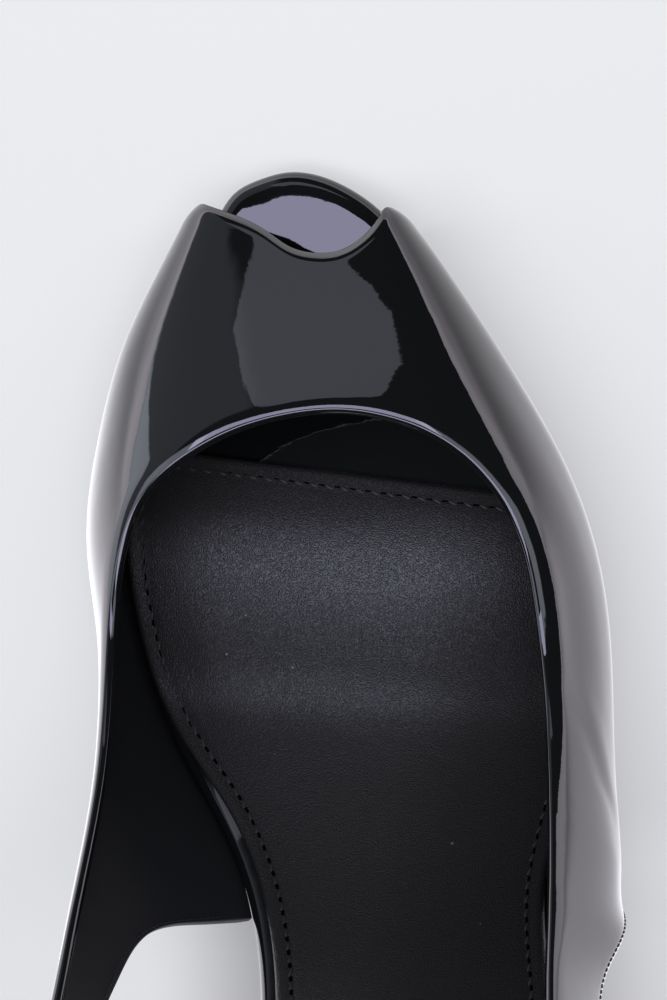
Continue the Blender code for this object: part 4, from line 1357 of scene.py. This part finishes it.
def place_light(name, place, size, watts, colour):
    """A rectangular area light that points straight down."""
    bpy.ops.object.light_add(type="AREA", location=place)
    light = bpy.context.object
    light.name = name
    light.rotation_euler = Vector((0, 0, -place[2])).to_track_quat("-Z", "Y").to_euler()
    light.data.shape = "RECTANGLE"
    light.data.size, light.data.size_y = size
    light.data.energy = watts
    light.data.color = colour
    return light


lamps = [place_light(*lamp) for lamp in LIGHTS]
bpy.context.scene.view_settings.view_transform = "Standard"
print("lights:", [lamp.name for lamp in lamps])

# %% [markdown]
# Finishes. Helpers first: a material with its shader's own values set, a node group with named sockets,
# and the few ways in which the finishes use them.

# %% Material helpers
def new_material(name, **values):
    """A material, with values for its shader's sockets, whose names are written with underscores."""
    material = bpy.data.materials.new(name)
    material.use_nodes = True
    shader = material.node_tree.nodes["Principled BSDF"]
    for socket, value in values.items():
        shader.inputs[socket.replace("_", " ")].default_value = value
    return material, shader


def new_group(name, inputs, outputs):
    """A node group: inputs are (name, type, default) and outputs are (name, type)."""
    group = bpy.data.node_groups.new(name, "ShaderNodeTree")
    for label, kind, default in inputs:
        socket = group.interface.new_socket(name=label, in_out="INPUT", socket_type=kind)
        socket.default_value = default
    for label, kind in outputs:
        group.interface.new_socket(name=label, in_out="OUTPUT", socket_type=kind)
    return group, group.nodes.new("NodeGroupInput").outputs, group.nodes.new("NodeGroupOutput").inputs


def use_group(tree, group, **values):
    """The group as a node of a material, with its own values."""
    node = tree.nodes.new("ShaderNodeGroup")
    node.node_tree = group
    for name, value in values.items():
        node.inputs[name].default_value = value
    return node


def carve(tree, shader, height, distance, strength):
    """A height that the shader shows as relief."""
    bump = add_node(tree, "ShaderNodeBump", {"Height": height, "Distance": distance, "Strength": strength})
    tree.links.new(bump.outputs["Normal"], shader.inputs["Normal"])


def between(tree, factor, low, high):
    """A value that goes from low to high as the factor goes from 0 to 1."""
    node = add_node(tree, "ShaderNodeMapRange", {"Value": factor, "To Min": low, "To Max": high})
    return node.outputs["Result"]


def blend_colours(tree, factor, first, second):
    """The colour of a Mix node, whose sockets 6 and 7 are its two colours."""
    mix = add_node(tree, "ShaderNodeMix", data_type="RGBA")
    tree.links.new(factor, mix.inputs["Factor"])
    for number, colour in ((6, first), (7, second)):
        if isinstance(colour, bpy.types.NodeSocket):
            tree.links.new(colour, mix.inputs[number])
        else:
            mix.inputs[number].default_value = colour
    return mix.outputs[2]


def mesh_mask(tree, name):
    """A number that the mesh carries at each point."""
    return add_node(tree, "ShaderNodeAttribute", attribute_name=name).outputs["Fac"]


print("material helpers ready")

# %% [markdown]
# Two effects are shared. ripple is the faint unevenness of lacquer over leather: broad waves, and a fine
# pebble that makes the edges of a reflection ragged. grain is the pebbled skin of soft leather.

# %% Shared effects
RIPPLE_SCALES = {"Broad": (160.0, 1.0), "Fine": (900.0, 2.0)}
GRAIN_SOFTNESS = 0.6
GRAIN_REACH = 0.7


def make_ripple():
    """Broad and fine waves, each as high as its input says."""
    group, given, out = new_group(
        "lacquer_ripple",
        (("Broad", "NodeSocketFloat", 0.5), ("Fine", "NodeSocketFloat", 0.5)),
        (("Height", "NodeSocketFloat"),),
    )
    place = add_node(group, "ShaderNodeTexCoord").outputs["Object"]
    total = 0.0
    for name, (scale, detail) in RIPPLE_SCALES.items():
        waves = add_node(group, "ShaderNodeTexNoise", {"Vector": place, "Scale": scale, "Detail": detail})
        total = calc(group, "MULTIPLY_ADD", waves.outputs["Fac"], given[name], total)
    group.links.new(total, out["Height"])
    return group


def make_grain():
    """Rounded cells with creases between them."""
    group, given, out = new_group(
        "leather_grain",
        (("Scale", "NodeSocketFloat", 2000.0),),
        (("Height", "NodeSocketFloat"), ("Crease", "NodeSocketFloat")),
    )
    place = add_node(group, "ShaderNodeTexCoord").outputs["Object"]
    cells = add_node(group, "ShaderNodeTexVoronoi", {
        "Vector": place, "Scale": given["Scale"], "Smoothness": GRAIN_SOFTNESS,
    }, feature="SMOOTH_F1")
    far = add_node(group, "ShaderNodeMapRange", {"Value": cells.outputs["Distance"], "From Max": GRAIN_REACH})
    crease = far.outputs["Result"]
    group.links.new(crease, out["Crease"])
    group.links.new(calc(group, "SUBTRACT", 1.0, crease), out["Height"])
    return group


RIPPLE = make_ripple()
GRAIN = make_grain()
print("effects:", RIPPLE.name, GRAIN.name)

# %% [markdown]
# Patent leather is black hide under a clear lacquer: nearly a mirror, and darkest where it mirrors the
# dark room. Its shine is faintly mauve. The inside of the upper is a dull black lining, and the cut edge
# of the wings is grey. One material shows all three, by the masks that the mesh carries.

# %% Patent leather
PATENT_BLACK = (0.0035, 0.0037, 0.0035, 1)
PATENT_TINT = (1.0, 0.925, 1.0, 1)
PATENT_ROUGHNESS = 0.03
RIPPLE_DEPTH = 5e-5
LINING_BLACK = (0.008, 0.008, 0.008, 1)
LINING_ROUGHNESS = 0.68
LINING_SHINE = 0.25
CUT_GREY = (0.045, 0.043, 0.048, 1)


def make_patent(name):
    """Lacquered leather, still without a lining."""
    material, shader = new_material(name, Base_Color=PATENT_BLACK, Roughness=PATENT_ROUGHNESS,
                                    Specular_Tint=PATENT_TINT)
    tree = material.node_tree
    ripple = use_group(tree, RIPPLE, Broad=1.0, Fine=0.08)
    carve(tree, shader, ripple.outputs["Height"], RIPPLE_DEPTH, 1.0)
    return material, shader


def make_lined_patent(name):
    """The same leather, dull where the mesh is lining and grey where it is cut."""
    material, shader = make_patent(name)
    tree = material.node_tree
    lining = mesh_mask(tree, "lining")
    colour = blend_colours(tree, lining, PATENT_BLACK, LINING_BLACK)
    colour = blend_colours(tree, mesh_mask(tree, "cut_edge"), colour, CUT_GREY)
    tree.links.new(colour, shader.inputs["Base Color"])
    tree.links.new(between(tree, lining, PATENT_ROUGHNESS, LINING_ROUGHNESS), shader.inputs["Roughness"])
    tree.links.new(between(tree, lining, 0.5, LINING_SHINE), shader.inputs["Specular IOR Level"])
    return material


def dress(piece, material):
    piece.data.materials.clear()
    piece.data.materials.append(material)


patent, _ = make_patent("patent_leather")
dress(upper, make_lined_patent("lined_patent_leather"))
dress(insole, patent)
dress(heel, patent)
print("patent on:", upper.name, insole.name, heel.name)

# %% [markdown]
# The sock's leather is satin: fine pebbles, each with a small soft shine, whose strength is painted by place
# from the mesh: a painted highlight over the ball and painted shade at the front and sides. A few specks of
# dust lie on it. The sole is duller and smoother, and the top piece is hard rubber. All three have the shared
# grain, at their own scale and depth. The thread is dull black, and the needle holes are black all through,
# painted shade for holes that are not cut.

# %% Sock, sole, rubber and thread
# Each skin is its colour, its roughness, and the scale, depth and strength of its grain.
SOCK_COLOUR = (0.011, 0.0095, 0.009, 1)
SOCK_SKIN = (SOCK_COLOUR, 0.42, 4300.0, 1.6e-4, 0.7)
SOLE_SKIN = ((0.012, 0.012, 0.013, 1), 0.5, 1200.0, 2e-5, 0.6)
RUBBER_SKIN = ((0.01, 0.01, 0.01, 1), 0.62, 3000.0, 1.5e-5, 0.6)
SOCK_ROUGHNESS = (0.31, 0.42)
SOCK_SHINE = 0.56
DUST_COLOUR = (0.09, 0.09, 0.1, 1)
DUST_SCALE = 130.0
DUST_SIZE = (0.034, 0.022)


def make_grained(name, colour, roughness, scale, depth, strength):
    """A material whose skin is the shared grain."""
    material, shader = new_material(name, Base_Color=colour, Roughness=roughness)
    grain = use_group(material.node_tree, GRAIN, Scale=scale)
    carve(material.node_tree, shader, grain.outputs["Height"], depth, strength)
    return material, shader, grain


def make_sock_leather():
    """Grained leather with rougher creases, dust, and a painted sheen that the mesh carries."""
    material, shader, grain = make_grained("sock_leather", *SOCK_SKIN)
    tree = material.node_tree
    tree.links.new(between(tree, grain.outputs["Crease"], *SOCK_ROUGHNESS), shader.inputs["Roughness"])
    place = add_node(tree, "ShaderNodeTexCoord").outputs["Object"]
    dust = add_node(tree, "ShaderNodeTexVoronoi", {"Vector": place, "Scale": DUST_SCALE})
    speck = add_node(tree, "ShaderNodeMapRange", {
        "Value": dust.outputs["Distance"], "From Min": DUST_SIZE[0], "From Max": DUST_SIZE[1],
    })
    dusted = blend_colours(tree, speck.outputs["Result"], SOCK_COLOUR, DUST_COLOUR)
    tree.links.new(dusted, shader.inputs["Base Color"])
    # The painted sheen sets how strongly the sock mirrors the lamps.
    shine = between(tree, mesh_mask(tree, "painted_sheen"), 0.0, SOCK_SHINE)
    tree.links.new(shine, shader.inputs["Specular IOR Level"])
    return material


dress(sock, make_sock_leather())
dress(outsole, make_grained("sole_leather", *SOLE_SKIN)[0])
dress(heel_tip, make_grained("hard_rubber", *RUBBER_SKIN)[0])
thread, _ = new_material("black_thread", Base_Color=(0.009, 0.008, 0.009, 1), Roughness=0.6,
                         Specular_IOR_Level=0.3)
# The needle holes are painted shade: black discs where the leather is not cut.
hole, _ = new_material("painted_hole_shade", Base_Color=(0.001, 0.001, 0.001, 1), Roughness=0.9,
                       Specular_IOR_Level=0.0)
for run in thread_runs:
    dress(run, hole if run.name.endswith("holes") else thread)
print("finishes:", len(bpy.data.materials), "materials")
